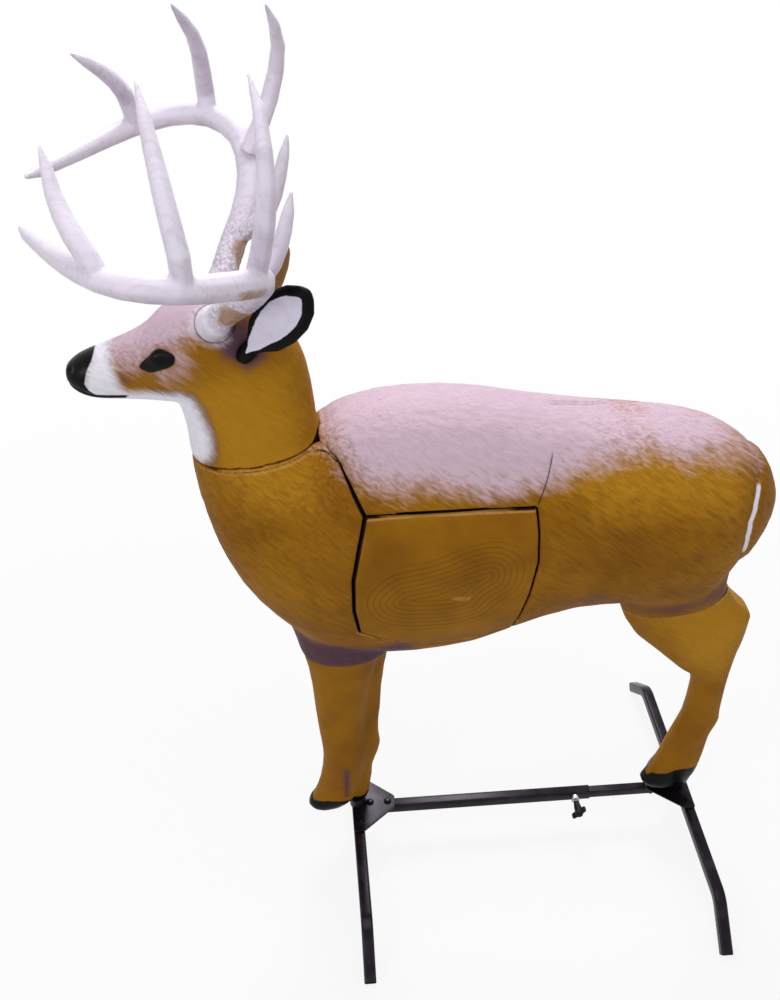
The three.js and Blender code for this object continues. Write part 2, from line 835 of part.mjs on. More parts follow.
function buildRearStand() {
  const x = rearCrossbarX;
  const armBolts = [-armBoltReach, armBoltReach];
  const boltX = x - farBoltReach;
  const studHole = downHole(rearPostX, 0, studDiameter);
  const armHoles = armBolts.map((y) => downHole(x, y, boltDiameter));
  const barHole = downHole(boltX, 0, boltDiameter);
  addPiece("rear_crossbar", crossbar(x, armHoles), "black");
  addPiece("rear_gusset_plate", gussetPlate(x, -1, [studHole, barHole, ...armHoles]), "black");

  const start = outerTubeEnd - telescopeOverlap;
  const end = x - tubeHalf - seatGap;
  const outer = sweep(
    [at(start, 0, 0), at(end, 0, 0)],
    squareSection(innerTubeSize, innerTubeCorner, boreSteps),
    alongY,
  );
  const bore = sweep(
    [at(start - cutOverrun, 0, 0), at(end + cutOverrun, 0, 0)],
    squareSection(innerTubeSize - 2 * innerTubeWall, innerTubeCorner - innerTubeWall, boreSteps),
    alongY,
  );
  const tube = outer.subtract(bore).subtract(studHole).subtract(barHole);
  addPiece("inner_bar_tube", tube, "black");

  const packingTop = plateBottom - seatGap;
  const packingBottom = innerTubeSize / 2 + seatGap;
  const packingEnds = [x - plateReach, end - seatGap];
  const packing = box(
    [(packingEnds[0] + packingEnds[1]) / 2, 0, (packingTop + packingBottom) / 2],
    [packingEnds[1] - packingEnds[0], packingWidth, packingTop - packingBottom],
  );
  addPiece("rear_packing_strip", packing.subtract(studHole).subtract(barHole), "black");

  armBolts.forEach((y, i) => {
    addPiece(`rear_arm_bolt_${i + 1}`, bolt(x, y, tubeSize), "black");
    addPiece(`rear_arm_nut_${i + 1}`, nut(x, y, tubeSize, boltNut), "black");
  });
  addPiece("rear_bar_bolt", bolt(boltX, 0, innerTubeSize), "black");
  addPiece("rear_bar_nut", nut(boltX, 0, innerTubeSize, boltNut), "black");
  addPiece("rear_leg_post", legPost(rearPostX, rearPostHeight, innerTubeSize), "black_steel");
  addPiece("rear_post_nut", nut(rearPostX, 0, innerTubeSize, studNut), "zinc");
  addPiece("rear_left_plug", endPlug(x, -1), "plastic");
  addPiece("rear_right_plug", endPlug(x, 1), "plastic");
}

// The boss on the left face of the outer tube, and the wing screw that presses on the inner one.
function buildBarLock() {
  const face = -tubeHalf - seatGap;
  const bossEnd = face - bossHeight;
  const [from, to] = [at(lockX, face + cutOverrun, 0), at(lockX, bossEnd - cutOverrun, 0)];
  const hole = rod(from, to, lockDiameter + 2 * holeGap);
  const boss = rod(at(lockX, face, 0), at(lockX, bossEnd, 0), bossDiameter);
  addPiece("lock_boss", boss.subtract(hole), "zinc");

  const tip = -innerTubeSize / 2 - seatGap;
  const neck = bossEnd - knobStandOff;
  const hubEnd = neck - knobHubLength;
  const screwEnd = at(lockX, hubEnd + cutOverrun, 0);
  addPiece("lock_screw", rod(at(lockX, tip, 0), screwEnd, lockDiameter), "zinc");

  const profile = [
    [0, -hubEnd],
    [0, -neck],
    [knobNeckDiameter / 2 + holeGap, -neck],
    [knobHubDiameter / 2, -neck + knobTaper],
    [knobHubDiameter / 2, -hubEnd],
  ];
  const points = profile.map(([r, y]) => new THREE.Vector2(r, y));
  points.push(points[0].clone());
  const hub = new THREE.LatheGeometry(points, roundSides);
  hub.rotateX(Math.PI);
  const wing = new THREE.BoxGeometry(knobWingSpan, knobWingDepth, knobWingThickness);
  wing.translate(0, hubEnd + knobWingDepth / 2 - seatGap, 0);
  const turned = new THREE.Matrix4().makeRotationY(-knobTilt).setPosition(lockX, 0, 0);
  const stemHole = rod(
    at(lockX, neck + cutOverrun, 0),
    at(lockX, hubEnd + cutOverrun - seatGap, 0),
    lockDiameter + holeGap,
  );
  addPiece("lock_knob", placed(hub, turned).add(placed(wing, turned)).subtract(stemHole), "plastic");
}

// Room in a leg for its post: a round hole, or a slot along the bar.
function postSocket(x, height, travel) {
  const wide = postDiameter + 2 * socketGap;
  const bottom = soleHeight - cutOverrun;
  const top = collarTop + height + postEndRoom;
  const round = rod(at(x - travel, 0, bottom), at(x - travel, 0, top), wide);
  if (!travel) return round;
  const middle = box([x, 0, (bottom + top) / 2], [2 * travel, wide, top - bottom]);
  return round.add(rod(at(x + travel, 0, bottom), at(x + travel, 0, top), wide)).add(middle);
}

// The rounded end of a leg that plugs into the body, and the room for it.
function spigot(xShare, seamShares, size, grow) {
  const [front, rear] = sideLine(seamShares);
  const x = xShare * bodyLength;
  const level = THREE.MathUtils.mapLinear(x, front[0], rear[0], front[1], rear[1]);
  const height = spigotLength + spigotRootDepth + grow;
  const centre = [x, 0, level + (spigotLength - spigotRootDepth + grow) / 2];
  return box(centre, [size[0] + 2 * grow, size[1] + 2 * grow, height]);
}

// Everything below the seam line of a leg.
function belowSeam(shares) {
  const [front, rear] = sideLine(shares);
  return sidePrism([front, rear, [rear[0], 0], [front[0], 0]]);
}

// One leg moulding: two legs run together, cut off at the seam, with its plug and its post socket.
function leg(sideRows, offset, seamShares, plug, socket) {
  const [left, right] = sideRows.map((rows, i) => {
    const side = i ? offset : -offset;
    return pairLoft(rows, limbRings, limbSides, limbPower, side);
  });
  const cutOff = left.add(right).intersect(belowSeam(seamShares));
  return cutOff.subtract(seam(sideLine(seamShares), 2 * seatGap)).add(plug).subtract(socket);
}

function buildLegs() {
  const frontRows = [frontLeftShares, frontRightShares];
  const frontPlug = spigot(frontSpigotShare, frontLegSeamShares, spigotFront, 0);
  const frontSocket = postSocket(0, postHeight, 0);
  const front = leg(frontRows, frontLegOffsetShare, frontLegSeamShares, frontPlug, frontSocket);
  addPiece("front_leg", front, "foam");

  const rearRows = [rearLeftShares, rearRightShares];
  const rearPlug = spigot(rearSpigotShare, rearLegSeamShares, spigotRear, 0);
  const rearSocket = postSocket(rearPostX, rearPostHeight, slotTravel);
  const rear = leg(rearRows, rearLegOffsetShare, rearLegSeamShares, rearPlug, rearSocket);
  addPiece("rear_leg", rear, "foam");
}

// The places of the pins that locate the two body sections on one another.
function dowels() {
  const pair = (level, shares, spread, reach, diameter) => {
    const [x, z] = sideLine([shares])[0];
    const pin = { x, z, reach, diameter };
    return [
      { ...pin, name: `${level}_left_dowel`, y: -spread },
      { ...pin, name: `${level}_right_dowel`, y: spread },
    ];
  };
  return [
    ...pair("upper", upperDowelShares, upperDowelSpread, upperDowelReach, upperDowelDiameter),
    ...pair("lower", lowerDowelShares, lowerDowelSpread, lowerDowelReach, lowerDowelDiameter),
  ];
}

function dowelRod(dowel, grow) {
  const from = at(dowel.x - dowel.reach - grow, dowel.y, dowel.z);
  const to = at(dowel.x + dowel.reach + grow, dowel.y, dowel.z);
  return rod(from, to, dowel.diameter + 2 * grow);
}

function neckPeg(grow) {
  const [x, z] = sideLine([neckPegShares])[0];
  const [low, high] = [-1, 1].map((way) => at(x, 0, z + way * (neckPegReach + grow)));
  return rod(low, high, neckPegDiameter + 2 * grow);
}

function buildBody() {
  const barrel = pairLoft(barrelShares, barrelRings, ringSides, barrelPower);
  const stub = pairLoft(chestStubShares, stubRings, stubSides, limbPower);
  const thigh = pairLoft(thighShares, thighRings, stubSides, limbPower);
  const above = thigh.subtract(belowSeam(rearLegSeamShares));
  const whole = barrel.add(stub.subtract(belowSeam(frontLegSeamShares))).add(above);

  const neckLine = sideLine(neckSeamShares);
  const shoulderLine = sideLine(shoulderSeamShares);
  const topLine = sideLine(insertTopShares);
  const rearLine = sideLine(insertRearShares);
  const lipLine = sideLine(insertLipShares);
  const bellyLine = sideLine(bellySeamShares);

  const frontOutline = [
    ...neckLine,
    ...shoulderLine.slice(1),
    ...lipLine.slice(1),
    ...bellyLine.slice(1),
    [neckLine[0][0], bellyLine[bellyLine.length - 1][1]],
  ];
  const insertFront = shoulderLine.slice(insertCorner);
  const insertOutline = [
    ...insertFront,
    ...lipLine.slice(1),
    ...[...rearLine].reverse().slice(1),
  ];
  const nape = sideLine([napeShares])[0];
  const rearOutline = [
    nape,
    ...shoulderLine.slice(1, insertCorner + 1),
    ...topLine.slice(1),
    ...rearLine.slice(1),
    ...bellyLine.slice(1),
    [outsideX, bellyLine[bellyLine.length - 1][1]],
    [outsideX, outsideZ],
    [nape[0], outsideZ],
  ];
  const seams = [
    ...[neckLine, shoulderLine, topLine, rearLine, bellyLine].map((line) => seam(line)),
    seam(lipLine, 2 * seatGap),
  ];
  const cut = (outline) =>
    seams.reduce((shape, slab) => shape.subtract(slab), whole.intersect(sidePrism(outline)));

  const pins = dowels();
  const rooms = pins.map((pin) => dowelRod(pin, socketGap));
  const legRooms = [
    spigot(frontSpigotShare, frontLegSeamShares, spigotFront, seatGap),
    spigot(rearSpigotShare, rearLegSeamShares, spigotRear, seatGap),
  ];
  const front = [...rooms, legRooms[0], neckPeg(socketGap)];
  const rear = [...rooms, legRooms[1]];
  const hollowed = (shape, tools) => tools.reduce((rest, tool) => rest.subtract(tool), shape);
  addPiece("front_body_section", hollowed(cut(frontOutline), front), "foam");
  addPiece("rear_body_section", hollowed(cut(rearOutline), rear), "saddle");
  addPiece("vitals_insert", cut(insertOutline), "insert");
  pins.forEach((pin) => addPiece(pin.name, dowelRod(pin, 0), "wood"));
}

// A curve through share points of the target.
function targetCurve(shares) {
  return new THREE.CatmullRomCurve3(shares.map((p) => targetPoint(...p)), false, "centripetal");
}

// A tube whose diameter runs from one end's to the other's, thicker for longer near the root.
function taperedTube(shares, rings, sides, rootDiameter, tipDiameter) {
  const curve = targetCurve(shares);
  const frames = curve.computeFrenetFrames(rings - 1, false);
  const list = Array.from({ length: rings }, (_, i) => {
    const t = i / (rings - 1);
    const bulk = 1 - t ** taperPower;
    const radius = (tipDiameter + (rootDiameter - tipDiameter) * bulk) / 2;
    const end = i === rings - 1 ? tipRoundShare : 1;
    const centre = curve.getPointAt(t);
    return Array.from({ length: sides }, (_, k) => {
      const turn = (2 * Math.PI * k) / sides;
      return centre
        .clone()
        .addScaledVector(frames.normals[i], radius * end * Math.cos(turn))
        .addScaledVector(frames.binormals[i], radius * end * Math.sin(turn));
    });
  });
  return loft(list);
}

// The root of an antler: where it starts, and the way that it leaves the head.
function antlerRoot(beamShares) {
  const start = targetPoint(...beamShares[0]);
  const way = targetPoint(...beamShares[1]).sub(start).normalize();
  return { start, way, step: (distance) => start.clone().addScaledVector(way, distance) };
}

function antlerSocket(beamShares) {
  const { step } = antlerRoot(beamShares);
  const pocket = rod(
    step(-antlerRootDepth - seatGap),
    step(antlerTakeOff),
    antlerRootDiameter + 2 * seatGap,
  );
  const hole = rod(
    step(-antlerRootDepth - antlerPegLength - seatGap),
    step(0),
    antlerPegDiameter + 2 * seatGap,
  );
  return pocket.add(hole);
}

function buildAntler(name, beamShares, tineShares) {
  const { step } = antlerRoot(beamShares);
  const root = rod(step(-antlerRootDepth), step(antlerBurr), antlerRootDiameter);
  const peg = rod(step(-antlerRootDepth - antlerPegLength), step(0), antlerPegDiameter);
  const beam = taperedTube(beamShares, beamRings, beamSides, beamDiameter, beamTipDiameter);
  const tines = tineShares.map((shares) =>
    taperedTube(shares, tineRings, tineSides, tineDiameter, tineTipDiameter),
  );
  addPiece(name, [peg, beam, ...tines].reduce((shape, tool) => shape.add(tool), root), "antler");
}

// The local frame of an ear: along its length, across it and the way its cup faces.
function earFrame(shares) {
  const root = targetPoint(...shares.root);
  const way = targetPoint(...shares.tip).sub(root).normalize();
  const side = Math.sign(shares.root[1]);
  const facing = at(...earFacingShares);
  facing.y *= side;
  facing.addScaledVector(way, -facing.dot(way)).normalize();
  const across = new THREE.Vector3().crossVectors(facing, way);
  return { root, way, facing, across };
}

// Leaf-shaped rings of an ear; the cup is the same leaf, smaller and moved the way it faces.
function earRings(frame, widthLoss, forward, start) {
  return earProfileShares
    .filter(([t]) => t >= start)
    .map(([t, w]) => {
      const half = Math.max((earWidth / 2) * w - widthLoss, earLeastHalf);
      const deep = Math.max((earThickness / 2) * Math.sqrt(w), earLeastHalf);
      const length = start ? earLength * (start + (t - start) * cupLengthShare) : earLength * t;
      const centre = frame.root.clone().addScaledVector(frame.way, length);
      centre.addScaledVector(frame.facing, forward);
      return Array.from({ length: limbSides }, (_, k) => {
        const turn = (2 * Math.PI * k) / limbSides;
        return centre
          .clone()
          .addScaledVector(frame.across, half * Math.cos(turn))
          .addScaledVector(frame.facing, deep * Math.sin(turn));
      });
    });
}

function earRoot(frame, grow) {
  const from = frame.root.clone().addScaledVector(frame.way, -earRootDepth - grow);
  const to = frame.root.clone().addScaledVector(frame.way, grow ? earLength : earRootDepth);
  return rod(from, to, earRootDiameter + 2 * grow);
}

function buildEar(name, shares) {
  const frame = earFrame(shares);
  const leaf = loft(earRings(frame, 0, 0, 0));
  const cup = loft(earRings(frame, earRim, earThickness / 2, cupStartShare));
  addPiece(name, leaf.add(earRoot(frame, 0)).subtract(cup), "ear");
}

// The bulge of an eye, a flattened ball let into the skull.
function eyeBulge(side) {
  const geometry = new THREE.SphereGeometry(1 / 2, roundSides, eyeRings);
  geometry.scale(...eyeSize);
  const [x, y, z] = eyeShares;
  const centre = targetPoint(x, side * y, z);
  return placed(geometry, new THREE.Matrix4().makeTranslation(centre.x, centre.y, centre.z));
}

function buildHead() {
  const neck = pairLoft(neckShares, neckRings, ringSides, barrelPower);
  const skull = pairLoft(headShares, headRings, headSides, headPower);
  const line = sideLine(neckSeamShares);
  const [front, rear] = [line[0], line[line.length - 1]];
  const above = sidePrism([
    ...line,
    [outsideX, rear[1]],
    [outsideX, outsideZ],
    [-outsideX, outsideZ],
    [-outsideX, front[1]],
  ]);
  const parts = neck.intersect(above).subtract(seam(line)).add(skull).add(eyeBulge(-1)).add(eyeBulge(1));
  const tools = [
    neckPeg(seatGap),
    antlerSocket(leftBeamShares),
    antlerSocket(rightBeamShares),
    earRoot(earFrame(leftEarShares), seatGap),
    earRoot(earFrame(rightEarShares), seatGap),
  ];
  addPiece("head_and_neck", tools.reduce((shape, tool) => shape.subtract(tool), parts), "foam");
  addPiece("neck_peg", neckPeg(0), "wood");
  buildEar("left_ear", leftEarShares);
  buildEar("right_ear", rightEarShares);
  buildAntler("left_antler", leftBeamShares, leftTineShares);
  buildAntler("right_antler", rightBeamShares, rightTineShares);
}

buildFrontStand();
buildRearStand();
buildBarLock();
buildLegs();
buildBody();
buildHead();

// The whole stands on Z = 0 with its bounding box centred on the origin.
const bounds = new THREE.Box3().setFromObject(target, true);
const middle = bounds.getCenter(new THREE.Vector3());
target.position.set(-middle.x, -middle.y, -bounds.min.z);

const assembly = new THREE.Group();
assembly.add(target);
export default assembly;
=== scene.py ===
import json
import math

import bpy
import numpy as np
from mathutils import Euler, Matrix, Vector, noise
from mathutils.bvhtree import BVHTree
from mathutils.kdtree import KDTree

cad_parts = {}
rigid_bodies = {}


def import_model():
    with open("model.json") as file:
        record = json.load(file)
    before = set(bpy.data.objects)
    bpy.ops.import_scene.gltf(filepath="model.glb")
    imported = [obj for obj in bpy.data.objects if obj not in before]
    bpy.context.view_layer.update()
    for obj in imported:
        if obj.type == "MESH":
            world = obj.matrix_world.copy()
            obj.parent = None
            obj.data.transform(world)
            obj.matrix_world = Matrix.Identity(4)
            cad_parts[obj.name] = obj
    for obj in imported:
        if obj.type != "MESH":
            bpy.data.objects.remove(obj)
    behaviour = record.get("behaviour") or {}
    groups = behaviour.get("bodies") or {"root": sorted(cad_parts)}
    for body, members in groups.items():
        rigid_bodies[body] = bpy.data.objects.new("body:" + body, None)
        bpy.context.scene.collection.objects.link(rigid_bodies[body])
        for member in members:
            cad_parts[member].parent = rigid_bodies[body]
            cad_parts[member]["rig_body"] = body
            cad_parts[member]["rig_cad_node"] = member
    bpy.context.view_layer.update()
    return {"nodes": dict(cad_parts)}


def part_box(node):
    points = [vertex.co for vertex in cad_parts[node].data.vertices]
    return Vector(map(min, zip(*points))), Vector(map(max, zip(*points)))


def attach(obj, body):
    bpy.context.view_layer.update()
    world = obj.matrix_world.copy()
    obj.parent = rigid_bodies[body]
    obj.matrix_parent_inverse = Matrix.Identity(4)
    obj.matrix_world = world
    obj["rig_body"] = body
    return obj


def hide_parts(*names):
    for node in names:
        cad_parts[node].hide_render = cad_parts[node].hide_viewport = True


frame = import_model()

bl_info = {
    "name": "Archery Target and Stand",
    "version": (1, 0, 0),
    "blender": (4, 5, 0),
    "location": "View3D > Sidebar > Target",
    "description": "Builds the painted foam buck target and its tube stand around the CAD frame",
    "category": "Object",
}

MM = 0.001


def linear(code):
    """An sRGB hex colour as linear red, green, blue and alpha."""
    parts = [int(code[i : i + 2], 16) / 255 for i in (0, 2, 4)]
    return (*((p / 12.92) if p <= 0.04045 else ((p + 0.055) / 1.055) ** 2.4 for p in parts), 1.0)


def middle(node):
    """The centre of a CAD node's box."""
    low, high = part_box(node)
    return (low + high) / 2


# The side view is measured in millimetres from the front leg post and from the long bar's axis.
POST = middle("front_leg_post").x
BAR = middle("outer_bar_tube").z
REAR_BAR = middle("rear_crossbar").x
PLATE_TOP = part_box("front_gusset_plate")[1].z


# Sizes and colours


def length(name, description, default):
    """A length property in metres whose default is given in millimetres."""
    return bpy.props.FloatProperty(
        name=name, description=description, default=default * MM, min=0, unit="LENGTH"
    )


def colour(name, description, code):
    """A colour property whose default is an sRGB hex value."""
    return bpy.props.FloatVectorProperty(
        name=name, description=description, default=linear(code), size=4, subtype="COLOR", min=0, max=1
    )


def slope(name, description, degrees):
    """An angle property whose default is given in degrees."""
    return bpy.props.FloatProperty(
        name=name, description=description, default=math.radians(degrees), subtype="ANGLE"
    )


class TargetStandSizes(bpy.types.PropertyGroup):
    """Sizes of the tube stand and its hardware."""

    tube: length("Tube", "Outside width of the square tube", 19)
    wall: length("Wall", "Wall of the square tube", 1.5)
    corner: length("Corner", "Outside corner radius of the square tube", 3.6)
    arm: length("Arm", "From the long bar to the corner of a bend", 233)
    foot: length("Foot", "From the corner of a bend to the tube's end", 87)
    bend: length("Bend", "Radius of the bends, at the tube's middle", 42)
    foot_angle: slope("Foot angle", "How far the ends bend down", 40)
    plate_edge: length("Plate edge", "Rounding of a gusset plate's rim", 0.7)
    bolt: length("Bolt", "Thread diameter of the plate bolts", 6)
    stud: length("Stud", "Thread diameter of the posts and the lock screw", 8)
    post: length("Post", "Diameter of a leg post", 12)
    collar: length("Collar", "Diameter of a post's collar", 26)


class TargetFoamSizes(bpy.types.PropertyGroup):
    """Sizes of the foam mouldings' surface."""

    skin_grain: length("Skin grain", "Mesh size of the shared smooth skin", 5)
    body_grain: length("Body grain", "Mesh size of the two body sections", 3)
    insert_grain: length("Insert grain", "Mesh size of the vitals insert", 2.3)
    limb_grain: length("Limb grain", "Mesh size of the legs and the head", 2)
    fine_grain: length("Fine grain", "Mesh size of the ears and antlers", 1.9)
    swell: length("Swell", "How far the skin is blown up before it is smoothed", 1.3)
    tuft: length("Tuft", "Height of the moulded tufts of hair", 2.2)
    seam_depth: length("Seam depth", "How far a moulding's edge is drawn in at a seam", 1.3)
    seam_width: length("Seam width", "How wide that rounding is", 4.5)
    hair_length: length("Hair length", "Length of one moulded stroke of hair", 26)
    hair_width: length("Hair width", "Width of one moulded stroke of hair", 5)
    hair_slope: slope("Hair slope", "How far the hair falls below level", 38)


class TargetColours(bpy.types.PropertyGroup):
    """Colours of the paints and finishes, with painted shade, sheen and highlight among them."""

    ochre: colour("Ochre", "Coat of the flanks", "946209")
    brown: colour("Brown", "Darker patches of the coat", "7a4a08")
    # In its zones on the neck, rump and thigh this gold is partly paint and partly painted light falling from
    # above.
    gold: colour("Gold", "Lighter patches of the coat", "b8841c")
    # On the back this mauve is partly paint and partly a painted sheen of the sky.
    mauve: colour("Mauve", "Sprayed back, forehead and bridge", "cfb6c8")
    # This grey-purple is painted shade in the folds, under the belly, at the leg roots, in the leg's cleft,
    # round the throat's white and between the antlers' pearls.
    haze: colour("Haze", "Grey-purple overspray in the folds", "50364a")
    white: colour("White", "Throat, muzzle and tail edge", "f0eefa")
    black: colour("Black", "Nose, eyes, mouth and hooves", "070508")
    # This light tint is a painted highlight where rounded moulding edges catch the light; the insert's aim
    # mark is tinted with it too.
    rubbed: colour("Rubbed", "Moulding edges where the paint is thin", "cf9f62")
    # Along the shoulder seam this dark band is widened into painted shadow of the gap.
    core: colour("Core", "Bare foam inside the seams", "1d110f")
    antler: colour("Antler", "Antlers where they are clean", "e2dae8")
    # Painted shade in the antlers' gutters, between their pearls and on their lower sides; the stand's dust,
    # the zinc's bloom and the nylon's wear take the same colour.
    antler_shade: colour("Antler shade", "Antlers in their hollows", "a894ac")
    lining: colour("Ear lining", "Inside of the ears", "e4e0f2")
    powder: colour("Powder coat", "Gloss coat of the stand", "100c12")
    zinc: colour("Zinc", "Plated posts, boss and screw", "b9b7bd")
    plastic: colour("Plastic", "Knob and end plugs", "0d0c0e")
    timber: colour("Timber", "Dowels and the neck peg", "b98a52")
    floor: colour("Floor", "Floor and backdrop", "dcdcdc")


def stand_sizes():
    return bpy.context.scene.target_stand


def foam_sizes():
    return bpy.context.scene.target_foam


def colours():
    return bpy.context.scene.target_colours


# Modelling helpers


def pick(*pieces):
    """Leaves edit mode and selects just these pieces, the last one active."""
    if bpy.context.object and bpy.context.object.mode != "OBJECT":
        bpy.ops.object.mode_set(mode="OBJECT")
    bpy.ops.object.select_all(action="DESELECT")
    for piece in pieces:
        piece.select_set(True)
        bpy.context.view_layer.objects.active = piece


def added(name):
    """Names the primitive that was just added, with its place in its mesh."""
    piece = bpy.context.object
    piece.name = name
    piece.data.name = name
    bpy.ops.object.transform_apply(location=True, rotation=True, scale=True)
    return piece


def edit(piece, kind="VERT"):
    """Goes into edit mode on a piece with all of it selected."""
    pick(piece)
    bpy.ops.object.mode_set(mode="EDIT")
    bpy.ops.mesh.select_mode(type=kind)
    bpy.ops.mesh.select_all(action="SELECT")


def choose(piece, test, kind="FACE"):
    """Edit mode with just the faces or edges whose middle and normal, or direction, pass a test."""
    edit(piece, kind)
    bpy.ops.mesh.select_all(action="DESELECT")
    bpy.ops.object.mode_set(mode="OBJECT")
    mesh = piece.data
    if kind == "FACE":
        for face in mesh.polygons:
            face.select = test(face.center, face.normal)
    else:
        for edge in mesh.edges:
            start, end = (mesh.vertices[i].co for i in edge.vertices)
            edge.select = test((start + end) / 2, (end - start).normalized())
    bpy.ops.object.mode_set(mode="EDIT")


def modify(piece, kind, **settings):
    """Puts a modifier on a piece and applies it."""
    pick(piece)
    modifier = piece.modifiers.new(kind.title(), kind)
    for key, value in settings.items():
        setattr(modifier, key, value)
    bpy.ops.object.modifier_apply(modifier=modifier.name)
    return piece


def tidy(piece):
    """Merges doubles and turns all faces outwards."""
    edit(piece)
    bpy.ops.mesh.remove_doubles(threshold=0.01 * MM)
    bpy.ops.mesh.normals_make_consistent(inside=False)
    bpy.ops.object.mode_set(mode="OBJECT")
    return piece


def moved(piece, turn=(0, 0, 0), to=(0, 0, 0)):
    """Turns and moves a piece's mesh, its object staying at the origin."""
    pick(piece)
    piece.rotation_euler = Euler(turn)
    piece.location = to
    bpy.ops.object.transform_apply(location=True, rotation=True, scale=True)
    return piece


def joined(name, pieces):
    """Several pieces as one object."""
    pick(*pieces)
    bpy.ops.object.join()
    piece = bpy.context.object
    piece.name = name
    return piece


def twin(piece, name, to=(0, 0, 0)):
    """A copy with its own mesh, moved there."""
    other = piece.copy()
    other.data = piece.data.copy()
    other.name = name
    bpy.context.scene.collection.objects.link(other)
    return moved(other, to=to)


def copy_of(node, name):
    """A copy of a CAD node's mesh, its doubles merged."""
    piece = frame["nodes"][node].copy()
    piece.data = piece.data.copy()
    piece.data.materials.clear()
    piece.name = name
    piece.data.name = name
    piece.parent = None
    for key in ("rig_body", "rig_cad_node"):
        del piece[key]
    bpy.context.scene.collection.objects.link(piece)
    edit(piece)
    bpy.ops.mesh.remove_doubles(threshold=0.01 * MM)
    bpy.ops.mesh.customdata_custom_splitnormals_clear()
    bpy.ops.object.mode_set(mode="OBJECT")
    return piece


def smoothed(piece, iterations, name="", weights=None):
    """Smooths a piece, or just where its weights say; the weights are kept under a name."""
    mark = "" if weights is None else group(piece, name, weights)
    return modify(piece, "SMOOTH", factor=0.5, iterations=iterations, vertex_group=mark)


def points_of(piece):
    """A piece's points as rows, in metres."""
    rows = np.zeros(len(piece.data.vertices) * 3)
    piece.data.vertices.foreach_get("co", rows)
    return rows.reshape(-1, 3)


def normals_of(piece):
    """A piece's point normals as rows."""
    rows = np.zeros(len(piece.data.vertices) * 3)
    piece.data.vertex_normals.foreach_get("vector", rows)
    return rows.reshape(-1, 3)


def press(piece, lifts):
    """Moves each point along its normal by its own lift in millimetres, like a modelling tool."""
    rows = points_of(piece) + normals_of(piece) * (np.asarray(lifts) * MM)[:, None]
    piece.data.vertices.foreach_set("co", rows.ravel())
    piece.data.update()


def group(piece, name, weights):
    """A vertex group with a weight for every point."""
    made = piece.vertex_groups.new(name=name)
    steps = np.round(np.clip(weights, 0, 1) * 20) / 20
    for level in np.unique(steps[steps > 0]):
        made.add(np.flatnonzero(steps == level).tolist(), float(level), "REPLACE")
    return name


def field(piece, name, values):
    """A number for every point, which a material reads by name."""
    made = piece.data.attributes.new(name, "FLOAT", "POINT")
    made.data.foreach_set("value", np.asarray(values, np.float32))


def smoothstep(value, low, high):
    """A share that eases from 0 to 1 while a value goes from low to high."""
    share = np.clip((value - low) / (high - low), 0, 1)
    return share * share * (3 - 2 * share)


def bell(value, width):
    """1 where a value is nought, down to a third at this width and to almost nothing at twice it."""
    return np.exp(-((value / width) ** 2))


def done(piece, body, material, nodes=(), smooth=40):
    """Gives a finished piece its shading, finish and body, and hides the CAD nodes it stands for."""
    pick(piece)
    if smooth is None:
        bpy.ops.object.shade_smooth()
    else:
        bpy.ops.object.shade_smooth_by_angle(angle=math.radians(smooth))
    piece.data.materials.clear()
    piece.data.materials.append(material)
    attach(piece, body)
    if nodes:
        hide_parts(*nodes)
    return piece


# Flat outlines in the side view


def from_segment(points, start, end):
    """Each point's offset from a straight segment's start, and its distance from the segment."""
    way = end - start
    offset = points - start
    share = np.clip(offset @ way / (way @ way), 0, 1)
    return offset, np.linalg.norm(offset - share[:, None] * way, axis=1)


def inside(points, outline):
    """How far each point lies inside a closed outline, negative outside."""
    corners = np.array(outline, float)
    nearest = np.full(len(points), 1e6)
    within = np.zeros(len(points), bool)
    for start, end in zip(corners, np.roll(corners, -1, axis=0)):
        way = end - start
        if not way.any():
            continue
        offset, far = from_segment(points, start, end)
        nearest = np.minimum(nearest, far)
        if start[1] != end[1]:
            crossed = (start[1] > points[:, 1]) != (end[1] > points[:, 1])
            within ^= crossed & (offset[:, 0] < way[0] * offset[:, 1] / way[1])
    return np.where(within, nearest, -nearest)


def from_line(points, line):
    """How far each point lies from an open line."""
    corners = np.array(line, float)
    gaps = [from_segment(points, start, end)[1] for start, end in zip(corners, corners[1:])]
    return np.minimum.reduce(gaps)


def scored(points, line):
    """Signed distance from an open line, and how plainly the line shows: not at all past its ends."""
    corners = np.array(line, float)
    nearest = np.full(len(points), 1e6)
    for start, end in zip(corners, corners[1:]):
        way = end - start
        offset, far = from_segment(points, start, end)
        side = np.where(way[0] * offset[:, 1] < way[1] * offset[:, 0], -1, 1)
        nearest = np.where(far < np.abs(nearest), far * side, nearest)
    ends = np.minimum(*(np.linalg.norm(points - corners[i], axis=1) for i in (0, -1)))
    plain = smoothstep(ends - np.abs(nearest), 0.5, 8) * smoothstep(np.abs(nearest), 6, 3.5)
    return nearest, plain


def rounded(loop, steps=6):
    """A closed curve through the points of a loop, its first point repeated at the end."""
    corners = [Vector(p) for p in loop]
    curve = []
    for i in range(len(corners)):
        a, b, c, d = (corners[(i + k) % len(corners)] for k in (-1, 0, 1, 2))
        for k in range(steps):
            t = k / steps
            bend = (2 * a - 5 * b + 4 * c - d) * t**2 + (3 * b - a - 3 * c + d) * t**3
            curve.append(0.5 * (2 * b + (c - a) * t + bend))
    return [tuple(p) for p in [*curve, curve[0]]]


# Stands for "far outside a zone", in millimetres.
OUTSIDE = -60.0
